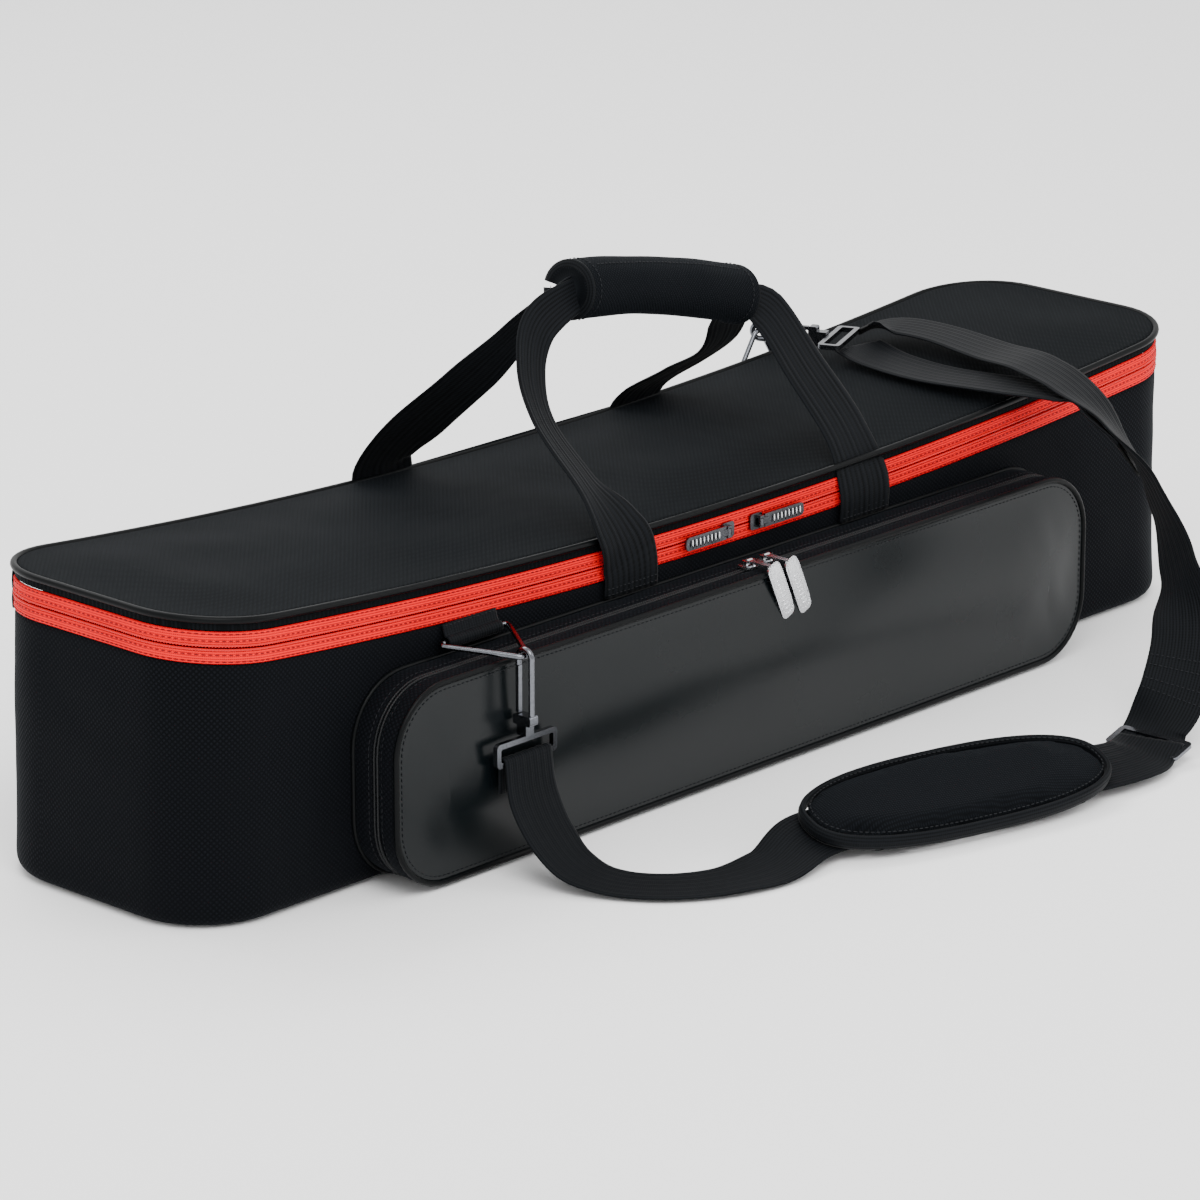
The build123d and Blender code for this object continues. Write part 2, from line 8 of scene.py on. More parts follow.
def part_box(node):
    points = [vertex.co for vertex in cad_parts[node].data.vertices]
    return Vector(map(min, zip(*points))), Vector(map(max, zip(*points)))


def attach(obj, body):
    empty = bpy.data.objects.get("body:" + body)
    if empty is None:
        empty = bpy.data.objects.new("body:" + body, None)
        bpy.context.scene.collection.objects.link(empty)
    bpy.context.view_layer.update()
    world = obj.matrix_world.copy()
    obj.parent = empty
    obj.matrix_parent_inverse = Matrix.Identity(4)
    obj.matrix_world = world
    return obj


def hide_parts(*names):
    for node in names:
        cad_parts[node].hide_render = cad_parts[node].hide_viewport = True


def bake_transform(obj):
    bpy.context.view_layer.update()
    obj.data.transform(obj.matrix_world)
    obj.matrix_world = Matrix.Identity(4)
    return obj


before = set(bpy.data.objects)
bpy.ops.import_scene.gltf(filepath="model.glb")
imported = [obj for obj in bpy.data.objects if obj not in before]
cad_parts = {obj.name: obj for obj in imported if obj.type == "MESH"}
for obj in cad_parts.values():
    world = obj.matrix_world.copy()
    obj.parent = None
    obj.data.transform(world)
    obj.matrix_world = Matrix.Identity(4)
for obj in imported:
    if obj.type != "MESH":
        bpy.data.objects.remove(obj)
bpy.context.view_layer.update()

MM = 0.001


# ---------------------------------------------------------------- sizes, read from the frame
def low(node):
    """Lowest corner of a CAD node, in millimetres."""
    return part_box(node)[0] / MM


def high(node):
    """Highest corner of a CAD node, in millimetres."""
    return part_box(node)[1] / MM


FRONT = low("lower_zip_tape").y
REAR = high("body_shell").y
HALF_LENGTH = 480.0
FLARE = 8.0                                     # the ends lean out by this much at the floor
TALL = 241.1                                    # height at which the flare is gone
CORNER = 58.0
BASE_X = HALF_LENGTH - CORNER                   # centres of the corner rounds
BASE_Y = REAR - CORNER
MIDDLE = CORNER + BASE_Y                        # inset that reaches the bag's middle line
HINGE = 168.0
SEAM_RISE = 25.0
SEAM = low("upper_zip_coil").z - 0.5            # middle of the zip at the middle of the bag
TAPE_EDGE = 10.1                                # from the middle of the zip to the edge of a tape
LID_EDGE = 9.0                                  # black skirt of the lid above the tape
ARC_RADIUS = (HALF_LENGTH**2 + SEAM_RISE**2) / (2 * SEAM_RISE)
ZIP_TURN = math.radians(45)                     # how far the zip runs round the rear corners


def ease(t):
    """0 to 1 with soft ends."""
    t = min(max(t, 0.0), 1.0)
    return t * t * (3 - 2 * t)


def lift(x):
    """Height of the long rim arc above its lowest point."""
    return ARC_RADIUS - math.sqrt(ARC_RADIUS**2 - x * x)


def wave(x, y, z, size, seed=0.0):
    """Soft noise from -1 to 1, with folds of about this size in millimetres."""
    return noise.noise(Vector((x / size + seed, y / size - seed, z / size + 2 * seed)))


# ---------------------------------------------------------------- mesh helpers
def to_object(name, bm, material, weld=0.02 * MM):
    """Welds, points the faces outwards and returns the mesh as a smooth object."""
    bmesh.ops.remove_doubles(bm, verts=bm.verts, dist=weld)
    bmesh.ops.recalc_face_normals(bm, faces=bm.faces)
    mesh = bpy.data.meshes.new(name)
    bm.to_mesh(mesh)
    bm.free()
    for face in mesh.polygons:
        face.use_smooth = True
    mesh.materials.append(material)
    made = bpy.data.objects.new(name, mesh)
    bpy.context.scene.collection.objects.link(made)
    return made


def skin(name, rows, material, wrap=False, cap=True):
    """Covers closed rings of points, in millimetres; wrap joins the last ring to the first.
    The UV map holds real metres: along the rows, and around the rings."""
    bm = bmesh.new()
    layer = bm.loops.layers.uv.new("UVMap")
    grid = [[bm.verts.new(Vector(p) * MM) for p in ring] for ring in rows]
    count = len(rows[0])
    middle = rows[len(rows) // 2]
    around = [0.0]
    for i in range(count):
        around.append(around[-1] + (Vector(middle[(i + 1) % count]) - Vector(middle[i])).length)
    along = [0.0]
    for a, b in zip(rows, rows[1:] + rows[:1]):
        along.append(along[-1] + (Vector(b[0]) - Vector(a[0])).length)
    last = len(rows) if wrap else len(rows) - 1
    for j in range(last):
        a, b = grid[j], grid[(j + 1) % len(rows)]
        for i in range(count):
            k = (i + 1) % count
            face = bm.faces.new((a[i], a[k], b[k], b[i]))
            corners = ((j, i), (j, i + 1), (j + 1, i + 1), (j + 1, i))
            for loop, (row, col) in zip(face.loops, corners):
                loop[layer].uv = (along[row] * MM, around[col] * MM)
    if cap and not wrap:
        bm.faces.new(grid[0])
        bm.faces.new(list(reversed(grid[-1])))
    return to_object(name, bm, material)


def subdivide(piece, levels=1):
    """Adds a subdivision surface with the same levels in view and render."""
    made = piece.modifiers.new("smooth", "SUBSURF")
    made.levels = levels
    made.render_levels = levels
    return piece


def bake(piece):
    """Turns a piece with modifiers into a plain mesh."""
    bpy.context.view_layer.update()
    graph = bpy.context.evaluated_depsgraph_get()
    mesh = bpy.data.meshes.new_from_object(piece.evaluated_get(graph))
    piece.modifiers.clear()
    piece.data = mesh
    for face in mesh.polygons:
        face.use_smooth = True
    return piece


def ride(piece, body, slot, *nodes):
    """A finished piece rides a body and stands for CAD nodes; the slot is not used."""
    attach(piece, body)
    if nodes:
        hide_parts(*nodes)
    return piece


def bridge(piece, bodies, start, end, slot, *nodes):
    """A finished piece is fixed in its world place and stands for CAD nodes; the bodies, the two points
    (in metres) and the slot are not used.
    """
    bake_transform(piece)
    if nodes:
        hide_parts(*nodes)
    return piece


# ---------------------------------------------------------------- materials
def colour(code):
    """sRGB hex to linear RGBA."""
    parts = [int(code[i:i + 2], 16) / 255 for i in (1, 3, 5)]
    linear = [c / 12.92 if c <= 0.04045 else ((c + 0.055) / 1.055) ** 2.4 for c in parts]
    return (*linear, 1.0)


def add(tree, kind, values=None, links=None, **settings):
    """Adds one node with its settings, socket values and links."""
    made = tree.nodes.new(kind)
    for name, value in settings.items():
        setattr(made, name, value)
    for socket, value in (values or {}).items():
        made.inputs[socket].default_value = value
    for socket, source in (links or {}).items():
        tree.links.new(source, made.inputs[socket])
    return made


def new_material(name, values):
    """An empty material with its shader joined to the output."""
    made = bpy.data.materials.new(name)
    made.use_nodes = True
    tree = made.node_tree
    tree.nodes.clear()
    shader = add(tree, "ShaderNodeBsdfPrincipled", values)
    add(tree, "ShaderNodeOutputMaterial", links={"Surface": shader.outputs[0]})
    return made, tree, shader


def bands(period_mm):
    """Scale of a Wave texture whose bands repeat at this distance on metre coordinates."""
    return 2 * math.pi / (20 * period_mm * MM)


def cloudy(tree, place, scale, detail):
    """Cloudy noise on object coordinates."""
    return add(tree, "ShaderNodeTexNoise", {"Scale": scale, "Detail": detail},
               {"Vector": place.outputs["Object"]})


def threads(tree, vector, period_mm, direction, **extra):
    """Bands of thread across or along a surface."""
    return add(tree, "ShaderNodeTexWave", {"Scale": bands(period_mm), **extra}, {"Vector": vector},
               bands_direction=direction)


def finish_surface(tree, shader, tint, height, strength, depth_mm):
    """Joins the colour and the small relief to the shader."""
    tree.links.new(tint, shader.inputs["Base Color"])
    bump = add(tree, "ShaderNodeBump", {"Strength": strength, "Distance": depth_mm * MM},
               {"Height": height})
    tree.links.new(bump.outputs[0], shader.inputs["Normal"])


def vary_roughness(tree, shader, source, least, most):
    """Lets the roughness follow a noise between two values."""
    rough = add(tree, "ShaderNodeMapRange", {"To Min": least, "To Max": most},
                {"Value": source.outputs["Fac"]})
    tree.links.new(rough.outputs[0], shader.inputs["Roughness"])


def woven(name, thread_mm, gap, thread, worn, coordinates, turn=0.0, sheen=0.04, depth_mm=0.35):
    """Woven synthetic cloth: crossing threads, faint cloudy wear and a dusty sheen."""
    made, tree, shader = new_material(name, {
        "Roughness": 0.72, "Sheen Weight": sheen, "Sheen Roughness": 0.45,
        "Sheen Tint": colour("#8f9aa6"), "Specular IOR Level": 0.12, "IOR": 1.22,
    })
    place = add(tree, "ShaderNodeTexCoord")
    turned = add(tree, "ShaderNodeMapping", {"Rotation": (0, 0, turn)},
                 {"Vector": place.outputs[coordinates]})
    loose = {"Distortion": 0.4, "Detail": 1.0}
    warp = threads(tree, turned.outputs[0], thread_mm, "X", **loose)
    weft = threads(tree, turned.outputs[0], thread_mm, "Y", **loose)
    cross = add(tree, "ShaderNodeMath", links={0: warp.outputs["Fac"], 1: weft.outputs["Fac"]},
                operation="MULTIPLY")
    cloud = cloudy(tree, place, 14.0, 4.0)
    ramp = add(tree, "ShaderNodeValToRGB", links={0: cross.outputs[0]})
    ramp.color_ramp.elements[0].color = colour(gap)
    ramp.color_ramp.elements[1].color = colour(thread)
    ramp.color_ramp.elements[1].position = 0.75
    faded = add(tree, "ShaderNodeMix", {7: colour(worn)},
                {0: cloud.outputs["Fac"], 6: ramp.outputs[0]}, data_type="RGBA", blend_type="MIX")
    finish_surface(tree, shader, faded.outputs[2], cross.outputs[0], 0.7, depth_mm)
    return made


def ribbed(
    name, rib_mm, low_code, high_code, sheen=0.03, roughness=0.6, cross_mm=1.6, specular=0.12,
):
    """Narrow woven tape or webbing: fine ribs along its length and small steps across them."""
    made, tree, shader = new_material(name, {
        "Roughness": roughness, "Sheen Weight": sheen, "Sheen Roughness": 0.4,
        "Specular IOR Level": specular, "IOR": 1.3,
    })
    place = add(tree, "ShaderNodeTexCoord")
    along = threads(tree, place.outputs["UV"], rib_mm, "Y", Distortion=0.3)
    step = threads(tree, place.outputs["UV"], cross_mm, "X", Distortion=0.6)
    both = add(tree, "ShaderNodeMath", {1: 0.35}, {0: step.outputs["Fac"], 2: along.outputs["Fac"]},
               operation="MULTIPLY_ADD")
    cloud = cloudy(tree, place, 30.0, 3.0)
    soft = add(tree, "ShaderNodeMath", {1: 0.5}, {0: cloud.outputs["Fac"], 2: both.outputs[0]},
               operation="MULTIPLY_ADD")
    ramp = add(tree, "ShaderNodeValToRGB", links={0: soft.outputs[0]})
    ramp.color_ramp.elements[0].color = colour(low_code)
    ramp.color_ramp.elements[0].position = 0.25
    ramp.color_ramp.elements[1].color = colour(high_code)
    finish_surface(tree, shader, ramp.outputs[0], both.outputs[0], 0.6, 0.25)
    return made


def grained(name, code, worn, roughness, grain_mm, depth_mm, values=None):
    """Coated or moulded surface: even colour, small pebbled grain and faint handling marks."""
    made, tree, shader = new_material(name, values or {})
    place = add(tree, "ShaderNodeTexCoord")
    grain = add(tree, "ShaderNodeTexVoronoi", {"Scale": 1 / (grain_mm * MM)},
                {"Vector": place.outputs["Object"]}, feature="SMOOTH_F1")
    cloud = cloudy(tree, place, 9.0, 5.0)
    tone = add(tree, "ShaderNodeMix", {6: colour(code), 7: colour(worn)}, {0: cloud.outputs["Fac"]},
               data_type="RGBA")
    vary_roughness(tree, shader, cloud, roughness * 0.8, roughness * 1.2)
    finish_surface(tree, shader, tone.outputs[2], grain.outputs["Distance"], 0.5, depth_mm)
    return made


def plated(name, code, roughness):
    """Die-cast zinc under a plated finish: soft casting ripple and fine handling scratches."""
    made, tree, shader = new_material(name, {"Metallic": 1.0})
    place = add(tree, "ShaderNodeTexCoord")
    ripple = cloudy(tree, place, 700.0, 3.0)
    tone = add(tree, "ShaderNodeMix", {6: colour(code), 7: colour("#2a2b2e")}, data_type="RGBA")
    dark = add(tree, "ShaderNodeMapRange", {"From Min": 0.45, "From Max": 0.9, "To Max": 0.5},
               {"Value": ripple.outputs["Fac"]})
    tree.links.new(dark.outputs[0], tone.inputs[0])
    vary_roughness(tree, shader, ripple, roughness * 0.7, roughness * 1.5)
    finish_surface(tree, shader, tone.outputs[2], ripple.outputs["Fac"], 0.25, 0.05)
    return made


DIAGONAL = math.radians(45)
shell_cloth = woven("woven_polyester_shell", 2.6, "#030405", "#131519", "#0b0c0f", "UV", DIAGONAL)
lid_cloth = woven("woven_polyester_lid", 2.6, "#030404", "#101316", "#090b0d", "Object", DIAGONAL)
pad_cloth = woven("woven_polyester_pad", 1.8, "#050607", "#14171b", "#0d0f12", "Object", 0.3)
grip_cloth = woven("woven_polyester_grip", 1.8, "#040506", "#13161a", "#0b0d10", "UV", DIAGONAL)
lining_cloth = woven("nylon_lining", 1.6, "#101113", "#1c1e21", "#16181b", "UV", 0.0, 0.02, 0.1)
web_cloth = ribbed("polypropylene_webbing", 2.2, "#020303", "#101215")
red_tape = ribbed("red_polyester_zip_tape", 1.6, "#84000a", "#ee0714", 0.0, 0.6, 1.2, 0.15)
NYLON, THREAD = {"Specular IOR Level": 0.25}, {"Specular IOR Level": 0.2}
red_coil = grained("red_nylon_coil", "#bc020c", "#dc0a14", 0.4, 0.8, 0.05, NYLON)
black_coil = grained("black_nylon_coil", "#08090a", "#101215", 0.45, 0.8, 0.05, NYLON)
vinyl = grained("gloss_vinyl_coated_cloth", "#04080a", "#070c0e", 0.27, 1.0, 0.05,
                {"Specular IOR Level": 0.18, "Coat Weight": 0.03, "Coat Roughness": 0.18})
piping_vinyl = grained("gloss_vinyl_piping", "#040506", "#080a0b", 0.4, 0.7, 0.04,
                       {"Specular IOR Level": 0.2, "IOR": 1.3})
black_thread = grained("black_bonded_thread", "#0c0e11", "#17191d", 0.6, 0.4, 0.05, THREAD)
red_thread = grained("red_bonded_thread", "#4a0206", "#6a0408", 0.6, 0.4, 0.05, THREAD)
nickel = plated("bright_nickel_zinc", "#dcdde0", 0.2)
gunmetal = plated("gunmetal_zinc", "#55565a", 0.26)
black_nickel = plated("black_nickel_steel", "#6a6c71", 0.17)


# ---------------------------------------------------------------- the plan of the bag
def plan(rear=True):
    """Stations round the bag as (base x, base y, normal x, normal y), from the left end's rear."""
    made = []
    end_steps, turn_steps, side_steps = 8, 12, 80

    def straight(start, stop, normal, steps):
        for i in range(steps):
            t = i / steps
            spot = [a + (b - a) * t for a, b in zip(start, stop)]
            made.append((*spot, *normal))

    def turn(base, first):
        for i in range(turn_steps):
            angle = math.radians(first + 90 * i / turn_steps)
            made.append((*base, math.cos(angle), math.sin(angle)))

    if not rear:
        for i in range(turn_steps // 2, 0, -1):
            angle = math.pi - math.radians(90 * i / turn_steps)
            made.append((-BASE_X, BASE_Y, math.cos(angle), math.sin(angle)))
    straight((-BASE_X, BASE_Y), (-BASE_X, -BASE_Y), (-1, 0), end_steps)
    turn((-BASE_X, -BASE_Y), 180)
    straight((-BASE_X, -BASE_Y), (BASE_X, -BASE_Y), (0, -1), side_steps)
    turn((BASE_X, -BASE_Y), 270)
    straight((BASE_X, -BASE_Y), (BASE_X, BASE_Y), (1, 0), end_steps)
    if rear:
        turn((BASE_X, BASE_Y), 0)
        straight((BASE_X, BASE_Y), (-BASE_X, BASE_Y), (0, 1), side_steps)
        turn((-BASE_X, BASE_Y), 90)
    else:
        for i in range(turn_steps // 2 + 1):
            angle = math.radians(90 * i / turn_steps)
            made.append((BASE_X, BASE_Y, math.cos(angle), math.sin(angle)))
    return made


def wall_point(station, inset, z):
    """A point on the bag's wall at a height, moved in by inset, with the lean of the ends."""
    base_x, base_y, nx, ny = station
    grow = 1 + FLARE * (1 - z / TALL) / BASE_X
    out = CORNER - inset
    if out < 0:
        shrink = max(0.0, 1 + out / BASE_Y)
        return Vector((base_x * grow, base_y * shrink, z))
    return Vector((base_x * grow + nx * out, base_y + ny * out, z))


def behind(station):
    """0 as far as the zip runs, 1 along the rear wall."""
    turned = math.asin(min(max(station[3], 0.0), 1.0))
    return ease((turned - ZIP_TURN) / (math.pi / 2 - ZIP_TURN)) if station[1] > BASE_Y - 1 else 0.0


def rim_lift(station):
    """How far the rim arc has risen at a station."""
    return lift(wall_point(station, 0, SEAM).x)


def tub_rim(station):
    """Height of the tub's open edge."""
    share = behind(station)
    return (SEAM - TAPE_EDGE + rim_lift(station)) * (1 - share) + (HINGE - 0.5) * share


def rumple(point, normal, amount, seed):
    """Moves a wall point in and out by soft folds, in millimetres."""
    x, y, z = point
    fold = wave(x, y, z * 0.6, 95, seed) * 0.7 + wave(x + z, y, z - x * 0.5, 38, seed + 3) * 0.3
    return Vector((x, y, z)) + Vector((normal[0], normal[1], 0)) * fold * amount


def tub(name, material, outer, inner, floor, thick, rows, amount):
    """An open tub between two insets, as one closed skin with a soft lower edge."""
    stations = plan()
    rings = []
    for reach in (MIDDLE, 80, 58, 40, 24, 14):
        rings.append([wall_point(s, outer + reach, floor) for s in stations])
    edge = 10.0
    for step in range(5):
        angle = math.radians(90 * step / 4)
        inset, z = edge * (1 - math.sin(angle)), floor + edge * (1 - math.cos(angle))
        rings.append([wall_point(s, outer + inset, z) for s in stations])
    for row in range(1, rows + 1):
        ring = []
        share = row / rows
        for s in stations:
            z = floor + edge + (tub_rim(s) - floor - edge) * share
            fade = min(1.0, (1 - share) * 6) * min(1.0, share * 5)
            ring.append(rumple(wall_point(s, outer, z), s[2:], amount * fade, 1.7))
        rings.append(ring)
    rings.append([wall_point(s, (outer + inner) / 2, tub_rim(s) + 0.4) for s in stations])
    for row in range(rows, 0, -2):
        share = row / rows
        rings.append([
            wall_point(s, inner, floor + edge + (tub_rim(s) - floor - edge) * share) for s in stations
        ])
    for reach in (0, 14, 40, 58, 80, MIDDLE):
        rings.append([wall_point(s, inner + reach, floor + thick) for s in stations])
    return skin(name, rings, material, cap=False)


bag_tub = tub("bag_tub", shell_cloth, 0.0, 5.6, 0.4, 4.6, 22, 2.8)
subdivide(bag_tub)
ride(bag_tub, "bag", "shell_fabric", "body_shell", "wall_foam")

tub_lining = tub("tub_lining", lining_cloth, 5.9, 6.9, 5.2, 0.9, 16, 0.0)
ride(tub_lining, "bag", "lining", "body_lining", "base_board")


# ---------------------------------------------------------------- the lid
def lid_low(station):
    """Lower edge of the lid's skirt: on the tape at the front, at the hinge behind."""
    share = behind(station)
    return (SEAM + TAPE_EDGE + rim_lift(station)) * (1 - share) + (HINGE + 0.5) * share


def lid_spot(station, inset, z):
    """A point of the lid, moved in by inset, with the lean that the ends have above the zip."""
    return Vector((*wall_point(station, inset, SEAM + 30)[:2], z))


def lid_top(station, inset):
    """Height of the lid's top at an inset: a low crown with soft hollows in the padding."""
    point = wall_point(station, inset, SEAM)
    full = ease((HALF_LENGTH - abs(point.x)) / 75) * ease((REAR - abs(point.y)) / 72)
    crown = 3.4 * full
    hollow = 2.0 * wave(point.x, point.y * 1.4, 0, 130, 5.1)
    hollow += 0.8 * wave(point.x, point.y, 0, 46, 8.3)
    return SEAM + TAPE_EDGE + LID_EDGE + lift(point.x) + crown + hollow * full**0.5


def lid_shell(name, material):
    """The whole padded lid as one closed skin, from the middle of its top to its underside."""
    stations = plan()
    rings = []
    for inset in (MIDDLE, 92, 80, 68, 58, 48, 38, 29, 21, 14, 9, 6, 4.2):
        rings.append([lid_spot(s, inset, lid_top(s, inset)) for s in stations])
    for inset, drop in ((2.4, 0.5), (1.0, 1.8), (0.3, 3.6)):
        rings.append([lid_spot(s, inset, lid_top(s, 0) - drop) for s in stations])
    for share in (0.35, 0.7, 1.0):
        ring = []
        for s in stations:
            top = lid_top(s, 0) - 3.6
            z = top + (lid_low(s) - top) * share
            ring.append(wall_point(s, 0.1, z))
        rings.append(ring)
    rings.append([wall_point(s, 4.8, lid_low(s)) for s in stations])
    under = SEAM + TAPE_EDGE
    for inset in (5.4, 12, 24, 40, 58, 76, 90, MIDDLE):
        rings.append([lid_spot(s, inset, under + rim_lift(s) + 0.3) for s in stations])
    return skin(name, rings, material, cap=False)


lid = lid_shell("lid_padded_panel", lid_cloth)
subdivide(lid)
ride(lid, "lid", "shell_fabric", "lid_cover", "lid_foam", "lid_liner")


# ---------------------------------------------------------------- what follows the rim
def round_profile(centre, size, steps=10):
    """An oval profile as (out, up) pairs."""
    turns = [2 * math.pi * i / steps for i in range(steps)]
    return [(centre[0] + size[0] * math.cos(a), centre[1] + size[1] * math.sin(a)) for a in turns]


def strip_profile(out, thick, bottom, top, steps=6):
    """A thin strip as (out, up) pairs, its face at out and its back thick behind it."""
    ups = [bottom + (top - bottom) * i / steps for i in range(steps + 1)]
    face = [(out - 0.25 * (i in (0, steps)), up) for i, up in enumerate(ups)]
    back = [(out - thick, up) for up in reversed(ups)]
    return face + back


def along_rim(name, profile, material, level, rear=False):
    """Sweeps a profile round the front and both ends, or right round, above the rim arc."""
    rings = [
        [wall_point(s, -out, level + rim_lift(s) + up) for out, up in profile] for s in plan(rear)
    ]
    return skin(name, rings, material, wrap=rear, cap=not rear)


def rim_line(out, up, level):
    """Points and outward normals along the rim, for stitches and teeth."""
    points, normals = [], []
    for s in plan(False):
        points.append(wall_point(s, -out, level + rim_lift(s) + up))
        normals.append((s[2], s[3], 0))
    return points, normals


def repeat_along(name, points, normals, pitch, size, material, closed=False):
    """Small rounded pieces at an even pitch along a line, made by a Geometry Nodes tree.
    size is along the line, across it and out of the surface, in millimetres."""
    mesh = bpy.data.meshes.new(name)
    edges = [(i, i + 1) for i in range(len(points) - 1)]
    if closed:
        edges.append((len(points) - 1, 0))
    mesh.from_pydata([Vector(p) * MM for p in points], edges, [])
    outward = mesh.attributes.new("outward", "FLOAT_VECTOR", "POINT")
    outward.data.foreach_set("vector", [c for n in normals for c in n])
    made = bpy.data.objects.new(name, mesh)
    bpy.context.scene.collection.objects.link(made)

    tree = bpy.data.node_groups.new(name, "GeometryNodeTree")
    for socket, flow, kind in (
        ("Line", "INPUT", "Geometry"), ("Pitch", "INPUT", "Float"), ("Size", "INPUT", "Vector"),
        ("Pieces", "OUTPUT", "Geometry"),
    ):
        tree.interface.new_socket(socket, in_out=flow, socket_type="NodeSocket" + kind)
    given = add(tree, "NodeGroupInput")
    line = add(tree, "GeometryNodeMeshToCurve", links={0: given.outputs["Line"]})
    even = add(tree, "GeometryNodeResampleCurve", mode="LENGTH",
               links={"Curve": line.outputs[0], "Length": given.outputs["Pitch"]})
    bead = add(tree, "GeometryNodeMeshUVSphere", {"Segments": 8, "Rings": 5, "Radius": 0.5})
    tangent = add(tree, "GeometryNodeInputTangent")
    aim = add(tree, "FunctionNodeAlignRotationToVector", axis="X",
              links={"Vector": tangent.outputs[0]})
    face = add(tree, "GeometryNodeInputNamedAttribute", {"Name": "outward"},
               data_type="FLOAT_VECTOR")
    roll = add(tree, "FunctionNodeAlignRotationToVector", axis="Z", pivot_axis="X",
               links={"Rotation": aim.outputs[0], "Vector": face.outputs[0]})
    spread = add(tree, "GeometryNodeInstanceOnPoints", links={
        "Points": even.outputs[0], "Instance": bead.outputs["Mesh"],
        "Rotation": roll.outputs[0], "Scale": given.outputs["Size"],
    })
    real = add(tree, "GeometryNodeRealizeInstances", links={0: spread.outputs[0]})
    painted = add(tree, "GeometryNodeSetMaterial", {"Material": material},
                  {"Geometry": real.outputs[0]})
    add(tree, "NodeGroupOutput", links={0: painted.outputs[0]})
    modifier = made.modifiers.new("repeat", "NODES")
    modifier.node_group = tree
    named = {item.name: item.identifier for item in tree.interface.items_tree}
    modifier[named["Pitch"]] = pitch * MM
    modifier[named["Size"]] = [c * MM for c in size]
    bake(made)
    made.data.materials.clear()
    made.data.materials.append(material)
    return made


for word, side, body in (("lower", -1, "bag"), ("upper", 1, "lid")):
    edges = sorted((side * 2.0, side * TAPE_EDGE))
    tape = along_rim(word + "_tape", strip_profile(0.5, 1.6, *edges), red_tape, SEAM)
    ride(tape, body, "zip_tape", word + "_zip_tape")
    cord = round_profile((-0.4, side * 1.35), (1.3, 0.85))
    coil = along_rim(word + "_coil", cord, red_coil, SEAM)
    ride(coil, body, "zip_coil", word + "_zip_coil")
    teeth = repeat_along(
        word + "_teeth", *rim_line(0.55, side * 1.25, SEAM), 2.0, (1.1, 1.9, 1.0), red_coil
    )
    ride(teeth, body, "zip_coil")
    for row, up in (("inner", side * 4.4), ("outer", side * 8.7)):
        stitches = repeat_along(
            f"{word}_{row}_stitches", *rim_line(0.62, up, SEAM), 4.2, (3.1, 0.7, 0.5), red_thread
        )
        ride(stitches, body, "zip_tape")

lid_cord = round_profile((0.4, 0), (2.3, 2.3))
lid_piping = along_rim(
    "lid_piping", lid_cord, piping_vinyl, SEAM + TAPE_EDGE + LID_EDGE - 1.6, rear=True
)
ride(lid_piping, "lid", "piping")


# ---------------------------------------------------------------- the front pocket
POCKET_LOW, POCKET_HIGH = low("pocket_panel"), high("pocket_panel")
POCKET_X = (POCKET_LOW.x + POCKET_HIGH.x) / 2
POCKET_Z = (POCKET_LOW.z + POCKET_HIGH.z) / 2
POCKET_ROUND = 42.0
POCKET_BASE_X = (POCKET_HIGH.x - POCKET_LOW.x) / 2 - POCKET_ROUND
POCKET_BASE_Z = (POCKET_HIGH.z - POCKET_LOW.z) / 2 - POCKET_ROUND
PANEL_FACE = POCKET_LOW.y


def pocket_plan():
    """Stations round the pocket as (base x, base z, normal x, normal z), clockwise."""
    made = []
    corners = ((-1, 1, 90), (1, 1, 0), (1, -1, -90), (-1, -1, 180))
    for number, (side_x, side_z, first) in enumerate(corners):
        base = (side_x * POCKET_BASE_X, side_z * POCKET_BASE_Z)
        following = corners[(number + 1) % 4]
        goal = (following[0] * POCKET_BASE_X, following[1] * POCKET_BASE_Z)
        leave = math.radians(first)
        for i in range(10):
            angle = leave + math.radians(90) * (1 - i / 10)
            made.append((*base, math.cos(angle), math.sin(angle)))
        steps = 70 if abs(goal[0] - base[0]) > 1 else 8
        for i in range(steps):
            t = i / steps
            made.append((
                base[0] + (goal[0] - base[0]) * t, base[1] + (goal[1] - base[1]) * t,
                math.cos(leave), math.sin(leave),
            ))
    return made


def pocket_point(station, inset, y):
    """A point inset from the pocket's outline, at a distance y from the middle of the bag."""
    base_x, base_z, nx, nz = station
    out = POCKET_ROUND - inset
    if out < 0:
        base_z *= max(0.0, 1 + out / POCKET_BASE_Z)
        out = 0
    return Vector((POCKET_X + base_x + nx * out, y, POCKET_Z + base_z + nz * out))


def along_pocket(name, profile, material, ruck=0.0):
    """Sweeps an (out, y) profile round the pocket, with soft puckers between the stitches."""
    rings = []
    for s in pocket_plan():
        ring = []
        for out, y in profile:
            place = pocket_point(s, -out, y)
            pucker = wave(place.x, y, place.z, 26, 4.0) + 0.5 * wave(place.x, y, place.z, 11, 9.0)
            ring.append(pocket_point(s, -out - ruck * pucker, y))
        rings.append(ring)
    return skin(name, rings, material, wrap=True)


def pocket_line(out, y):
    """Points and outward normals round the pocket, for stitches and teeth."""
    stations = pocket_plan()
    return [pocket_point(s, -out, y) for s in stations], [(s[2], 0, s[3]) for s in stations]


def gusset_profile(start, stop, thick, puff):
    """Fabric wall of the pocket from one y to another, bulging a little between its seams."""
    outer = [(puff * math.sin(math.pi * i / 5), start + (stop - start) * i / 5) for i in range(6)]
    return outer + [(-thick, stop), (-thick, start)]


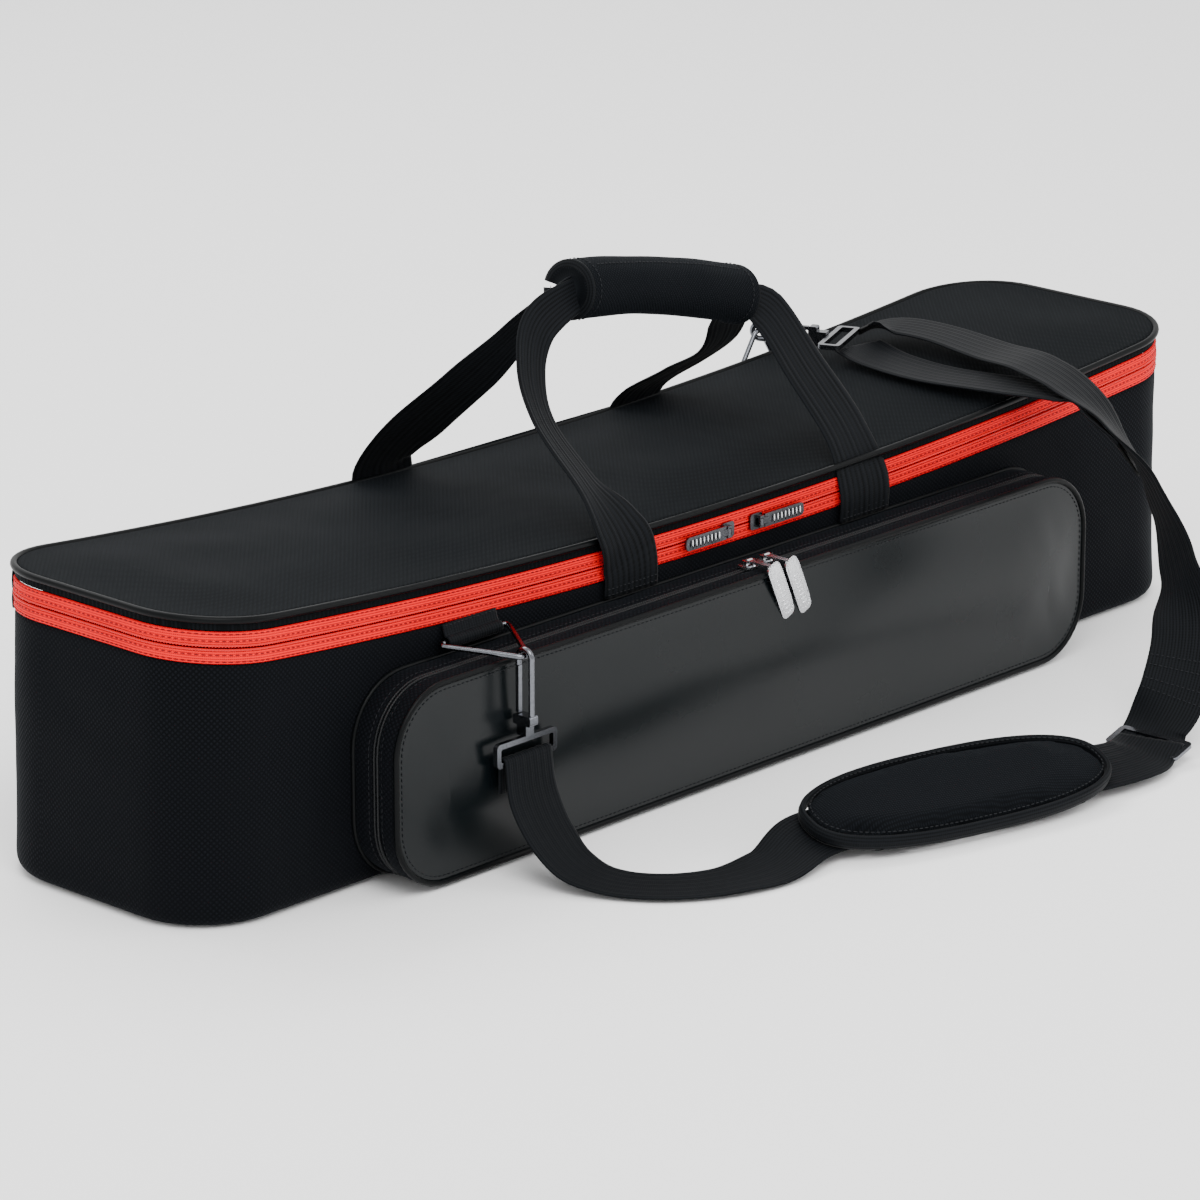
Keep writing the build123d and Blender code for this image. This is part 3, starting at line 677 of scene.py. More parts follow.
BACK_START, BACK_END = high("pocket_back_gusset").y, low("pocket_back_gusset").y
FORE_START, FORE_END = high("pocket_front_gusset").y, low("pocket_front_gusset").y
BACK_COIL = (high("pocket_back_coil").y + low("pocket_back_coil").y) / 2
FORE_COIL = (high("pocket_front_coil").y + low("pocket_front_coil").y) / 2
for word, body, start, stop, coil_y, puff in (
    ("back", "bag", BACK_START, BACK_END, BACK_COIL, 1.5),
    ("front", "pocket_front", FORE_START, FORE_END, FORE_COIL, 1.2),
):
    profile = gusset_profile(start, stop, 2.0, puff)
    gusset = along_pocket(f"pocket_{word}_wall", profile, shell_cloth, 0.7)
    subdivide(gusset)
    ride(gusset, body, "shell_fabric", f"pocket_{word}_gusset")
    cord = round_profile((-0.4, coil_y), (1.3, 0.85))
    coil = along_pocket(f"pocket_{word}_zip", cord, black_coil)
    ride(coil, body, "black_coil", f"pocket_{word}_coil")
    teeth = repeat_along(
        f"pocket_{word}_teeth", *pocket_line(0.5, coil_y), 2.0, (1.1, 1.9, 1.0), black_coil,
        closed=True,
    )
    ride(teeth, body, "black_coil")
    inward = 1 if word == "back" else -1
    seam = repeat_along(
        f"pocket_{word}_seam", *pocket_line(1.0 if word == "back" else 0.5, coil_y + inward * 4.0), 4.2,
        (3.1, 0.7, 0.6), black_thread, closed=True,
    )
    ride(seam, body, "shell_fabric")

rear_cord = round_profile((0.9, BACK_START - 1.2), (1.8, 1.6))
ride(along_pocket("pocket_rear_piping", rear_cord, piping_vinyl), "bag", "piping")
front_cord = round_profile((0.2, PANEL_FACE + 0.3), (2.0, 2.0))
front_piping = along_pocket("pocket_front_piping", front_cord, piping_vinyl)
ride(front_piping, "pocket_front", "piping", "pocket_piping")


def panel_y(x, z):
    """Face of the vinyl panel: a low pillow, dented behind the hook and slack at the corners."""
    full = (
        ease((POCKET_BASE_X + POCKET_ROUND - abs(x - POCKET_X)) / 75)
        * ease((POCKET_BASE_Z + POCKET_ROUND - abs(z - POCKET_Z)) / 64)
    )
    crown = 6.5 * full**0.8
    slack = 0.9 * wave(x, 0, z, 130, 2.2) * full**0.5
    corner = ease((abs(x - POCKET_X) - POCKET_BASE_X + 60) / 70)
    crease = 1.0 * corner * wave(x * 1.3 + z, 0, z * 0.5 - x, 30, 6.4) * full**0.5
    dent = 3.6 * math.exp(-((x + 256) / 30) ** 2 - ((z - 92) / 30) ** 2)
    return PANEL_FACE - crown - slack - crease + dent


def vinyl_panel():
    """The glossy front of the pocket as one closed skin."""
    stations = pocket_plan()
    middle = POCKET_ROUND + POCKET_BASE_Z
    rings = [
        [pocket_point(s, inset, PANEL_FACE + 1.4) for s in stations]
        for inset in (middle, 52, 30, 8, 1.2)
    ]
    rings.append([pocket_point(s, 0.6, PANEL_FACE + 0.8) for s in stations])
    for inset in (1.2, 3, 5.5, 8.5, 12, 16, 20, 25, 30, 36, 42, 47, 52, 57, 61, middle):
        ring = []
        for s in stations:
            flat = pocket_point(s, inset, 0)
            ring.append(pocket_point(s, inset, panel_y(flat.x, flat.z)))
        rings.append(ring)
    return skin("pocket_vinyl_panel", rings, vinyl, cap=False)


panel = vinyl_panel()
subdivide(panel)
ride(panel, "pocket_front", "vinyl", "pocket_panel")
panel_points = [pocket_point(s, 4.2, PANEL_FACE - 0.5) for s in pocket_plan()]
edge_row = repeat_along(
    "panel_edge_stitches", panel_points, [(0, -1, 0)] * len(panel_points), 4.0, (2.9, 0.6, 0.5),
    black_thread, closed=True,
)
ride(edge_row, "pocket_front", "vinyl")


# ---------------------------------------------------------------- webbing
def glide(route, step):
    """Points a few millimetres apart on a smooth line through a strap's route. Each row of
    the route is a point, the direction across the strap and, where it narrows, a width."""
    rows = [(Vector(p), Vector(a), w[0] if w else STRAP_WIDTH) for p, a, *w in route]
    made = []
    for i in range(len(rows) - 1):
        before, here = rows[max(i - 1, 0)], rows[i]
        there, after = rows[i + 1], rows[min(i + 2, len(rows) - 1)]
        count = max(2, round((there[0] - here[0]).length / step))
        for k in range(count + (i == len(rows) - 2)):
            t = k / count
            bend = (
                here[0] * 2 + (there[0] - before[0]) * t
                + (before[0] * 2 - here[0] * 5 + there[0] * 4 - after[0]) * t * t
                + (here[0] * 3 - before[0] - there[0] * 3 + after[0]) * t**3
            ) / 2
            width = here[2] + (there[2] - here[2]) * ease(t)
            made.append((bend, here[1].lerp(there[1], ease(t)), width))
    return made


def webbing(name, route, thickness=1.5, ribs=7, rib=0.35, step=4.0):
    """A flat woven strap with raised ribs along it, and its length in millimetres."""
    samples = glide(route, step)
    points = [s[0] for s in samples]
    across_steps = ribs * 4
    rings = []
    for i, (point, across, width) in enumerate(samples):
        along = (points[min(i + 1, len(points) - 1)] - points[max(i - 1, 0)]).normalized()
        side = (across - along * across.dot(along)).normalized()
        normal = along.cross(side)
        top, bottom = [], []
        for j in range(across_steps + 1):
            share = j / across_steps
            edge = 0.35 if j in (0, across_steps) else 1.0
            height = thickness / 2 * edge + rib * abs(math.sin(math.pi * ribs * share))
            place = point + side * (share - 0.5) * width
            top.append(place + normal * height)
            bottom.append(place - normal * height)
        rings.append(top + bottom[::-1])
    made = skin(name, rings, web_cloth)
    length = sum((b - a).length for a, b in zip(points, points[1:]))
    return made, length


def stitched_row(name, points, normal, pitch=3.4):
    """A short straight row of stitches through the given points."""
    return repeat_along(name, points, [normal] * len(points), pitch, (2.6, 0.8, 0.7), black_thread)


TILT = math.radians(12)
GRIP_CENTRE = Vector((6, -20, 299))
GRIP_AXIS = Vector((math.cos(TILT), 0, -math.sin(TILT)))
GRIP_UP = Vector((math.sin(TILT), 0, math.cos(TILT)))
GRIP_HALF = 83.0
FOOT_FRONT = FRONT - 3.0
FOOT_REAR = REAR + 3.2
HANDLE_WIDTH, STRAP_WIDTH = 50.0, 45.0


def grip_spot(along, rear, up):
    """A point beside the middle line of the grip."""
    return GRIP_CENTRE + GRIP_AXIS * along + GRIP_UP * up + Vector((0, rear, 0))


front_handle_route = [
    ((-108, FOOT_FRONT, 137), (1, 0, 0), HANDLE_WIDTH),
    ((-109, FOOT_FRONT, 158), (1, 0, 0), HANDLE_WIDTH),
    ((-120, FOOT_FRONT + 2, 184), (1, 0.1, -0.05), 46),
    ((-131, -84, 214), (0.91, 0.34, -0.25), 42),
    ((-135, -54, 246), (0.91, 0.34, -0.25), 37),
    ((-130, -38, 276), (0.85, 0.05, -0.5), 33),
    ((-112, -29, 302), (0.35, -0.35, -0.86), 28),
    (grip_spot(-80, -7, -1), (0, -0.5, -0.86), 22),
    (grip_spot(-60, -7, -1), (0, -0.5, -0.86), 21),
    (grip_spot(0, -7, -1), (0, -0.5, -0.86), 21),
    (grip_spot(62, -7, -1), (0, -0.5, -0.86), 21),
    (grip_spot(80, -6, -2), (-0.3, -0.6, -0.7), 24),
    ((101, -38, 270), (-0.7, -0.35, -0.6), 37),
    ((111, -62, 234), (-0.9, -0.3, -0.3), 45),
    ((119, -90, 196), (-1, -0.15, -0.1), 47),
    ((122, FOOT_FRONT, 162), (-1, 0, 0), HANDLE_WIDTH),
    ((123, FOOT_FRONT, 137), (-1, 0, 0), HANDLE_WIDTH),
]
rear_handle_route = [
    ((-116, FOOT_REAR, 137), (1, 0, 0), HANDLE_WIDTH),
    ((-120, FOOT_REAR, 168), (1, 0, 0), HANDLE_WIDTH),
    ((-130, 96, 190), (0.97, 0, -0.2), 48),
    ((-128, 66, 220), (0.92, -0.12, -0.34), 46),
    ((-118, 30, 254), (0.9, -0.12, -0.36), 42),
    ((-103, 2, 286), (0.75, 0.1, -0.6), 32),
    (grip_spot(-82, 6, -1), (0.1, 0.55, -0.8), 23),
    (grip_spot(-60, 7, -1), (0, 0.5, -0.86), 21),
    (grip_spot(0, 7, -1), (0, 0.5, -0.86), 21),
    (grip_spot(62, 7, -1), (0, 0.5, -0.86), 21),
    (grip_spot(82, 7, -4), (-0.4, 0.45, -0.75), 24),
    ((109, 5, 258), (-0.95, 0.15, -0.25), 36),
    ((128, 32, 230), (-1, 0, -0.1), 38),
    ((133, 68, 207), (-1, 0, 0), 44),
    ((124, 97, 186), (-1, 0, 0), 48),
    ((118, FOOT_REAR, 164), (-1, 0, 0), HANDLE_WIDTH),
    ((117, FOOT_REAR, 137), (-1, 0, 0), HANDLE_WIDTH),
]
for word, route, y in (
    ("front", front_handle_route, FOOT_FRONT), ("rear", rear_handle_route, FOOT_REAR),
):
    handle, length = webbing(word + "_handle_webbing", route)
    start, end = (0, y * MM, 0.150), (0, y * MM * 0.85, 0.185)
    bridge(handle, ("bag", word + "_handle"), start, end, "webbing", word + "_handle_strap")
    out = -1 if word == "front" else 1
    for foot, x in (("left", route[0][0][0]), ("right", route[-1][0][0])):
        for level in (139.5, 143.5):
            across = [(x + dx, y + out * 1.25, level) for dx in (-22, 0, 22)]
            row = stitched_row(f"{word}_{foot}_bartack_{int(level)}", across, (0, out, 0))
            ride(row, "bag", "webbing")


# ---------------------------------------------------------------- the wrap grip
def grip_arch(along):
    """How far the soft grip arches above its straight middle line."""
    return 4.5 * (1 - (along / GRIP_HALF) ** 2)


def grip_section(along, grow=0.0):
    """Angles and radii of the wrap at one place: a C that is open at the rear."""
    arch = grip_arch(along)
    radius = 21.6 - 0.54 * math.cos(along / GRIP_HALF * math.pi) + grow
    top = math.asin((2.6 - arch) / radius)
    bottom = math.asin((-2.6 - arch) / radius)
    return arch, radius, top, bottom


def grip_point(along, angle, radius, arch):
    """A point of the wrap, with the dents of a squeezed pad."""
    soft = 0.8 * wave(along, radius * math.cos(angle), radius * math.sin(angle), 34, 7.7)
    reach = radius + soft
    return grip_spot(along, reach * math.cos(angle), arch + reach * 0.9 * math.sin(angle))


def grip_wrap():
    """The padded wrap as one closed skin."""
    steps = 40
    stations = [-GRIP_HALF + 2 * GRIP_HALF * i / 30 for i in range(31)]
    rings = []

    def ring(along, outer_in, inner_out):
        arch, radius, top, bottom = grip_section(along)
        span = (top - bottom) - 2 * math.pi
        angles = [bottom + span * i / steps for i in range(steps + 1)]
        outside = [grip_point(along, a, radius - outer_in, arch) for a in angles]
        inside = [grip_point(along, a, radius - 7.6 + inner_out, arch) for a in reversed(angles)]
        return outside + inside

    rings.append(ring(stations[0] - 0.9, 2.4, 2.4))
    rings.append(ring(stations[0] - 0.6, 0.9, 0.9))
    for along in stations:
        rings.append(ring(along, 0.0, 0.0))
    rings.append(ring(stations[-1] + 0.6, 0.9, 0.9))
    rings.append(ring(stations[-1] + 0.9, 2.4, 2.4))
    return skin("grip_wrap", rings, grip_cloth)


GRIP_START = tuple((GRIP_CENTRE - GRIP_UP * 2) * MM)
GRIP_END = tuple((GRIP_CENTRE + GRIP_UP * 2) * MM)
wrap = bake(subdivide(grip_wrap()))
GRIP_FOLD = (("front_handle", "grip_flap_body"), GRIP_START, GRIP_END)
bridge(wrap, *GRIP_FOLD, "pad_fabric", "grip_pad", "grip_flap")
for word, along in (("left", -76.0), ("right", 76.0)):
    arch, radius, top, bottom = grip_section(along, 0.3)
    span = (top - bottom) - 2 * math.pi
    angles = [bottom + span * i / 40 for i in range(41)]
    spots = [grip_point(along, a, radius, arch) for a in angles]
    normals = [tuple(GRIP_UP * math.sin(a) + Vector((0, math.cos(a), 0))) for a in angles]
    row = repeat_along(f"grip_{word}_stitches", spots, normals, 3.6, (2.7, 0.7, 0.6), black_thread)
    bridge(row, *GRIP_FOLD, "pad_fabric")


def grip_edging(name, along):
    """A bound edge round one end of the wrap."""
    arch, radius, top, bottom = grip_section(along)
    span = (top - bottom) - 2 * math.pi
    rings = []
    for i in range(41):
        angle = bottom + span * i / 40
        rings.append([
            grip_point(along + 1.7 * math.cos(t), angle, radius - 3.6 + 4.0 * math.sin(t), arch)
            for t in (2 * math.pi * k / 10 for k in range(10))
        ])
    bridge(skin(name, rings, web_cloth), *GRIP_FOLD, "webbing")


grip_edging("grip_left_edging", -GRIP_HALF + 0.6)
grip_edging("grip_right_edging", GRIP_HALF - 0.6)
lip = [-70 + 5 * i for i in range(29)]
lip_points, lip_normals = [], []
for along in lip:
    arch, radius, top, bottom = grip_section(along, 0.3)
    lip_points.append(grip_point(along, math.radians(118), radius, arch))
    lip_normals.append(tuple(GRIP_UP * 0.88 + Vector((0, -0.47, 0))))
lip_row = repeat_along(
    "grip_edge_stitches", lip_points, lip_normals, 3.6, (2.7, 0.7, 0.6), black_thread
)
ride(lip_row, "grip_flap_body", "pad_fabric")


# ---------------------------------------------------------------- rings' tabs, hinge and zip ends
def tab(word, x, bar_y, bar_z, wall_y):
    """Webbing folded round the bar of a ring and sewn to the wall."""
    out = -1 if bar_y < wall_y else 1
    loop, width = 3.6, STRAP_WIDTH + 3
    route = [((x, wall_y + out * 1.3, bar_z + 11), (1, 0, 0), width)]
    for i in range(7):
        angle = math.radians(100 - 200 * i / 6)
        route.append((
            (x, bar_y + out * loop * math.cos(angle), bar_z + loop * math.sin(angle)),
            (1, 0, 0), width,
        ))
    route.append(((x, wall_y + out * 1.2, bar_z - 4.4), (1, 0, 0), width))
    made, length = webbing(word + "_tab_webbing", route, thickness=1.3, rib=0.25, step=1.6)
    ride(made, "bag", "webbing", word + "_ring_tab")
    for level in (bar_z + 7.5, bar_z + 10):
        across = [(x + dx, wall_y + out * 2.6, level) for dx in (-21, 0, 21)]
        row = stitched_row(f"{word}_tab_stitches_{int(level)}", across, (0, out, 0))
        ride(row, "bag", "webbing")


tab("front", -256, -107.0, 144.0, FRONT)
tab("rear", 256, 107.8, 154.0, REAR + 0.8)

hinge_route = [
    ((x, REAR + 0.9 + 0.3 * wave(x, 0, 0, 60), 166), (0, 0, 1), 24) for x in range(-424, 425, 53)
]
hinge_tape, hinge_length = webbing(
    "hinge_tape", hinge_route, thickness=0.7, ribs=5, rib=0.15, step=8.0
)
hinge_start, hinge_end = (0, REAR * MM, 0.162), (0, REAR * MM, 0.174)
bridge(hinge_tape, ("bag", "lid"), hinge_start, hinge_end, "webbing", "hinge_binding")
for level, body in ((156.5, "bag"), (175.5, "lid")):
    points = [(x, REAR + 1.5, level) for x in range(-420, 421, 20)]
    ride(stitched_row(f"hinge_stitches_{body}", points, (0, 1, 0), pitch=4.2), body, "webbing")

for word, side in (("left", -1), ("right", 1)):
    for half, body, bottom, top in (
        ("lower", "bag", -TAPE_EDGE - 1.5, -0.6), ("upper", "lid", 0.6, TAPE_EDGE + 1.5),
    ):
        rings = []
        for step in range(7):
            angle = ZIP_TURN - 0.06 + 0.05 * step
            station = (side * BASE_X, BASE_Y, side * math.cos(angle), math.sin(angle))
            face = 1.4 - 0.7 * (step in (0, 6))
            level = SEAM + rim_lift(station)
            rings.append([wall_point(station, -out, level + up) for out, up in (
                (face, bottom), (face + 0.3, (bottom + top) / 2), (face, top), (-1.0, top),
                (-1.0, bottom),
            )])
        ride(skin(f"zip_end_{word}_{half}", rings, shell_cloth), body, "shell_fabric")


# ---------------------------------------------------------------- the shoulder strap
PAD_TURN, PAD_TILT = math.radians(-14), math.radians(18)
PAD_AXIS = Vector((math.cos(PAD_TURN), math.sin(PAD_TURN), 0))
PAD_ACROSS = Vector((
    -math.sin(PAD_TURN) * math.cos(PAD_TILT), math.cos(PAD_TURN) * math.cos(PAD_TILT),
    math.sin(PAD_TILT),
))
PAD_NORMAL = PAD_AXIS.cross(PAD_ACROSS)
PAD_MIDDLE = Vector((-8.0, -296.0, 15.45))
PAD_HALF, PAD_HALF_WIDTH = 117.5, 39.0


def pad_spot(along, aside, up):
    """A point in the pad's own directions, from the middle of its underside."""
    return PAD_MIDDLE + PAD_AXIS * along + PAD_ACROSS * aside + PAD_NORMAL * up


front_bar_z = low("front_swivel_loop").z + 1.75
front_bar_y = (low("front_swivel_loop").y + high("front_swivel_loop").y) / 2
across_x = (1, 0, 0)
RING_X = -256                                   # middle of the front ring and clip
lower_route = [
    ((RING_X, front_bar_y + 3.0, front_bar_z - 20), across_x, 42),
    ((RING_X, front_bar_y + 3.1, front_bar_z - 3), across_x, 42),
    ((RING_X, front_bar_y + 2.3, front_bar_z + 2.2), across_x, 42),
    ((RING_X, front_bar_y, front_bar_z + 3.2), across_x, 42),
    ((RING_X, front_bar_y - 2.3, front_bar_z + 2.2), across_x, 42),
    ((RING_X, front_bar_y - 3.1, front_bar_z - 3), across_x, 42),
    ((-257, front_bar_y - 8, front_bar_z - 24), (1, 0.05, 0)),
    ((-258, front_bar_y - 22, front_bar_z - 44), (1, 0.1, 0)),
    ((RING_X, front_bar_y - 42, 12), (1, 0.2, 0)),
    ((-246, -218, 3.8), (0.9, 0.45, 0)),
    ((-226, -246, 2.6), (0.6, 0.8, 0)),
    ((-195, -266, 3.0), (0.35, 0.94, 0)),
    ((-158, -274, 5.4), (0.25, 0.95, 0.12)),
    (pad_spot(-114, -2, -1.5), PAD_ACROSS),
    (pad_spot(-70, 0, -1.5), PAD_ACROSS),
    (pad_spot(0, 0, -1.5), PAD_ACROSS),
    (pad_spot(70, 0, -1.5), PAD_ACROSS),
    (pad_spot(118, 0, -1.3), PAD_ACROSS),
    ((142, -325, 12), (0.1, 0.96, 0.25)),
    ((162, -317, 11), (0, 0.98, 0.15)),
    ((176, -312, 13), (0.1, 0.98, 0.1)),
]
lower_strap, lower_length = webbing("strap_lower_webbing", lower_route, step=3.5)
CLIP_FOLD = (("bag", "front_clip"), (0, -0.190, 0.012), (0, -0.156, 0.075))
bridge(lower_strap, *CLIP_FOLD, "webbing", "strap_lower")

upper_route = [
    ((176, -311, 9), (-0.1, -0.98, -0.1)),
    ((190, -304, 13), (0.05, -0.98, -0.15)),
    ((211, -303, 36), (0.45, -0.82, -0.3)),
    ((235, -293, 70), (0.42, -0.9, 0)),
    ((252, -272, 108), (-0.3, -0.88, 0.34)),
    ((267, -240, 146), (-0.58, -0.73, 0.36)),
    ((282, -196, 176), (-0.82, -0.54, 0.2)),
    ((298, -146, 196), (-0.93, -0.35, 0)),
    ((312, -98, 203), (-1, -0.15, 0)),
    ((324, -50, 201), (-1, -0.1, 0)),
    ((329, 0, 203), (-1, 0, 0), 42),
    ((322, 34, 204), (-0.95, 0.3, 0), 42),
    ((302, 50, 203), (-0.9, 0.45, 0), 42),
]
return_route = [
    ((275, -210.7, 163.8), (-0.74, -0.61, 0.26)),
    ((285.8, -178.9, 180.6), (-0.85, -0.5, 0.13)),
    ((295.5, -147.5, 192.6), (-0.93, -0.35, 0)),
    ((283, -100, 193.5), (-1, 0, 0)),
    ((276, -40, 191.5), (-1, 0.1, 0)),
    ((280, 10, 192), (-0.95, 0.3, 0), 44),
    ((286, 40, 195.5), (-0.9, 0.45, 0), 42),
]
OVER_THE_BAG = (("bag", "rear_clip"), (0, -0.290, 0.04), (0, -0.170, 0.185))
for node, route in (("strap_upper", upper_route), ("strap_return", return_route)):
    strap, length = webbing(node + "_webbing", route, step=4.0)
    bridge(strap, *OVER_THE_BAG, "webbing", node)


# ---------------------------------------------------------------- the shoulder pad
def rounded(count, half_length, half_width, power_along, power_aside):
    """Points round an oval with flattened sides, as (along, aside) pairs."""
    made = []
    for i in range(count):
        angle = 2 * math.pi * i / count
        c, s = math.cos(angle), math.sin(angle)
        made.append((
            half_length * math.copysign(abs(c) ** power_along, c),
            half_width * math.copysign(abs(s) ** power_aside, s),
        ))
    return made


def pad_outline(count=72):
    """The pad's leaf-shaped outline as (along, aside) pairs."""
    return rounded(count, PAD_HALF, PAD_HALF_WIDTH, 0.8, 0.8)


def pad_cushion():
    """The foam cushion before it swells: a flat leaf with rounded edges."""
    rings = []
    for share, up in (
        (0.02, 1.2), (0.5, 1.2), (0.9, 1.2), (0.965, 3.0), (0.98, 5.5), (0.965, 8.5), (0.9, 10.2),
        (0.5, 10.6), (0.02, 10.6),
    ):
        rings.append([pad_spot(a * share, b * share, up) for a, b in pad_outline()])
    return skin("shoulder_pad_cushion", rings, pad_cloth)


def swell(piece, voxel_mm, cap_mm, pressure=4.0):
    """Inflates a padded piece as cloth, and limits how far its skin may move."""
    remesh = piece.modifiers.new("even", "REMESH")
    remesh.mode = "VOXEL"
    remesh.voxel_size = voxel_mm * MM
    bake(piece)
    rest = [v.co.copy() for v in piece.data.vertices]
    cloth = piece.modifiers.new("cloth", "CLOTH")
    cloth.settings.use_pressure = True
    cloth.settings.uniform_pressure_force = pressure
    cloth.settings.effector_weights.gravity = 0
    cloth.point_cache.frame_start, cloth.point_cache.frame_end = 1, 20
    scene = bpy.context.scene
    for number in range(1, 21):
        scene.frame_set(number)
    bake(piece)
    scene.frame_set(1)
    for vertex, start in zip(piece.data.vertices, rest):
        move = vertex.co - start
        if move.length > cap_mm * MM:
            vertex.co = start + move.normalized() * cap_mm * MM
    return piece


cushion = swell(pad_cushion(), 4.5, 5.0)
subdivide(cushion)
ride(cushion, "pad", "pad_fabric", "shoulder_pad")


def pad_loop(name, share, up, out, half_height, material):
    """A tube that follows the pad's outline."""
    outline = pad_outline(120)
    rings = []
    for i, (a, b) in enumerate(outline):
        nxt, prv = outline[(i + 1) % 120], outline[i - 1]
        normal = Vector((nxt[1] - prv[1], prv[0] - nxt[0])).normalized()
        ring = []
        for k in range(10):
            turn = 2 * math.pi * k / 10
            off = out * math.cos(turn)
            aside = (a * share + normal.x * off, b * share + normal.y * off)
            ring.append(pad_spot(*aside, up + half_height * math.sin(turn)))
        rings.append(ring)
    return skin(name, rings, material, wrap=True)


binding = pad_loop("pad_binding", 0.985, 6.0, 2.4, 5.4, web_cloth)
ride(binding, "pad", "webbing")
pad_row_points = [pad_spot(a * 0.945, b * 0.9, 11.6) for a, b in pad_outline(120)]
pad_row = repeat_along(
    "pad_edge_stitches", pad_row_points, [tuple(PAD_NORMAL)] * 120, 3.8, (2.8, 0.8, 0.7),
    black_thread, closed=True,
)
ride(pad_row, "pad", "webbing")
for word, along in (("left", -70), ("right", 70)):
    route = [(pad_spot(along, aside, up), PAD_AXIS, 22) for aside, up in (
        (-33, 2.0), (-29, -1.6), (-24, -2.9), (0, -3.0), (24, -2.9), (29, -1.6), (33, 2.0),
    )]
    keeper, length = webbing("pad_keeper_" + word, route, 0.6, ribs=4, rib=0.15, step=2.5)
    ride(keeper, "pad", "webbing", "pad_keepers")

riser = glide(upper_route, 4.0)
for number in (11, 13, 16, 18):
    point, across, width = riser[number]
    along = (riser[number + 1][0] - riser[number - 1][0]).normalized()
    side = (across - along * across.dot(along)).normalized()
    normal = along.cross(side)
    line = [point + side * width * 0.44 * share - normal * 1.25 for share in (-1, 0, 1)]
    row = stitched_row(f"strap_stitches_{number}", line, tuple(-normal))
    bridge(row, *OVER_THE_BAG, "webbing")


# ---------------------------------------------------------------- metal pieces
def paint(node, material):
    """Gives a CAD node a finished material."""
    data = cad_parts[node].data
    data.materials.clear()
    data.materials.append(material)


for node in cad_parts:
    if node.startswith(("main_slider", "main_pull")):
        paint(node, gunmetal)
    elif node.startswith(("pocket_slider", "pocket_pull")):
        paint(node, nickel)
    elif node.endswith(("_ring", "_hook", "_gate", "_swivel_loop", "_adjuster")):
        paint(node, black_nickel)

# The rungs on the dark gunmetal main pulls are real, but their bright nickel is partly a painted
# highlight: it stands in for glints along the pulls.
for word, side in (("left", -1), ("right", 1)):
    box_low, box_high = low("main_pull_" + word), high("main_pull_" + word)
    level = (box_low.z + box_high.z) / 2
    near, far = (box_high.x - 13, box_low.x + 5) if side < 0 else (box_low.x + 13, box_high.x - 5)
    spots = [(near + (far - near) * i / 4, box_low.y, level) for i in range(5)]
    bars = repeat_along(
        f"main_pull_{word}_bars", spots, [(0, -1, 0)] * 5, 3.4, (1.4, 6.4, 1.1), nickel
    )
    ride(bars, word + "_pull", "nickel")

LEAN = math.radians(24)
DOWN = Vector((math.sin(LEAN), 0, -math.cos(LEAN)))
SIDEWAYS = Vector((math.cos(LEAN), 0, math.sin(LEAN)))
for word in ("left", "right"):
    node = "pocket_pull_" + word
    slider_x = (low("pocket_slider_" + word).x + high("pocket_slider_" + word).x) / 2
    top = Vector((slider_x, low(node).y, high(node).z - 1.0))
    spots = [top + DOWN * (13 + 4.4 * i) for i in range(6)]
    bars = repeat_along(node + "_bars", spots, [(0, -1, 0)] * 6, 3.0, (1.5, 6.4, 0.9), nickel)
    ride(bars, f"pocket_{word}_pull", "nickel")
    rim = [top + SIDEWAYS * a + DOWN * (19 + b) for a, b in rounded(40, 5.3, 20.0, 0.7, 0.35)]
    beads = repeat_along(
        node + "_rim", rim, [(0, -1, 0)] * 40, 1.7, (1.9, 1.0, 1.0), nickel, closed=True
    )
    ride(beads, f"pocket_{word}_pull", "nickel")


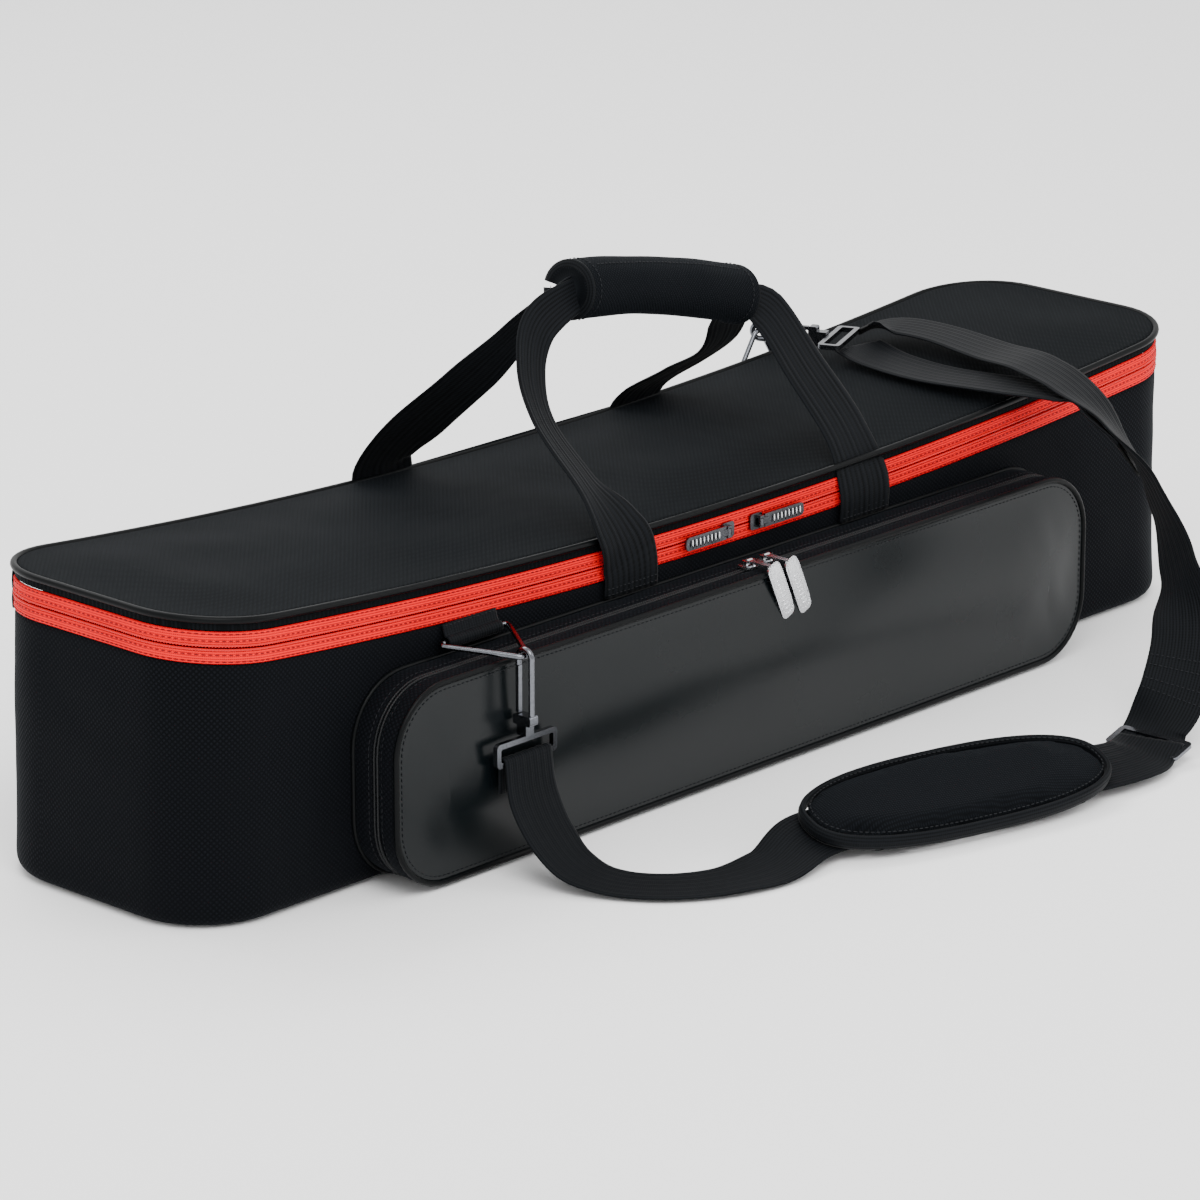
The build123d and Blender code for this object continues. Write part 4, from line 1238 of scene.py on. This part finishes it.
# ---------------------------------------------------------------- camera, floor and light
CAMERA_PLACE = (-2.670, -2.467, 1.250)          # metres
CAMERA_RIGHT = Vector((0.6820, -0.7314, 0.0))
CAMERA_UP = Vector((0.2236, 0.2085, 0.9521))
CAMERA_LENS = 170.3                             # millimetres


def aim_camera():
    """The camera stands to the left front, a little above the bag, with a long lens."""
    data = bpy.data.cameras.new("camera")
    data.lens = CAMERA_LENS
    data.sensor_width = 36.0
    data.clip_end = 50.0
    made = bpy.data.objects.new("camera", data)
    place = Matrix((CAMERA_RIGHT, CAMERA_UP, CAMERA_RIGHT.cross(CAMERA_UP))).transposed().to_4x4()
    place.translation = CAMERA_PLACE
    made.matrix_world = place
    bpy.context.scene.collection.objects.link(made)
    bpy.context.scene.camera = made


def softbox(name, place, target, size, power):
    """A square area light that faces a point."""
    data = bpy.data.lights.new(name, "AREA")
    data.shape = "RECTANGLE"
    data.size, data.size_y = size
    data.energy = power
    made = bpy.data.objects.new(name, data)
    made.location = place
    made.rotation_euler = (Vector(target) - Vector(place)).to_track_quat("-Z", "Y").to_euler()
    bpy.context.scene.collection.objects.link(made)


WHITE = colour("#ffffff")


def studio():
    """A plain pale floor, a pale surround and three soft lights."""
    bm = bmesh.new()
    bmesh.ops.create_grid(bm, x_segments=1, y_segments=1, size=9.0)
    mesh = bpy.data.meshes.new("floor")
    bm.to_mesh(mesh)
    bm.free()
    floor = bpy.data.objects.new("floor", mesh)
    floor.location.z = -0.0005
    paper, tree, shader = new_material("matt_paper_floor", {
        "Base Color": WHITE, "Roughness": 0.9, "Specular IOR Level": 0.05,
    })
    mesh.materials.append(paper)
    bpy.context.scene.collection.objects.link(floor)
    world = bpy.data.worlds.new("studio")
    world.use_nodes = True
    sky = world.node_tree.nodes["Background"]
    sky.inputs["Color"].default_value = WHITE
    sky.inputs["Strength"].default_value = 1.4
    bpy.context.scene.world = world
    softbox("key", (-1.2, -1.6, 2.6), (0, 0, 0.1), (1.8, 1.8), 75)
    softbox("fill", (1.8, -2.4, 1.6), (0, 0, 0.1), (1.5, 1.5), 20)
    softbox("top", (0.3, 1.6, 2.4), (0, 0, 0.2), (2.2, 1.2), 40)


aim_camera()
studio()
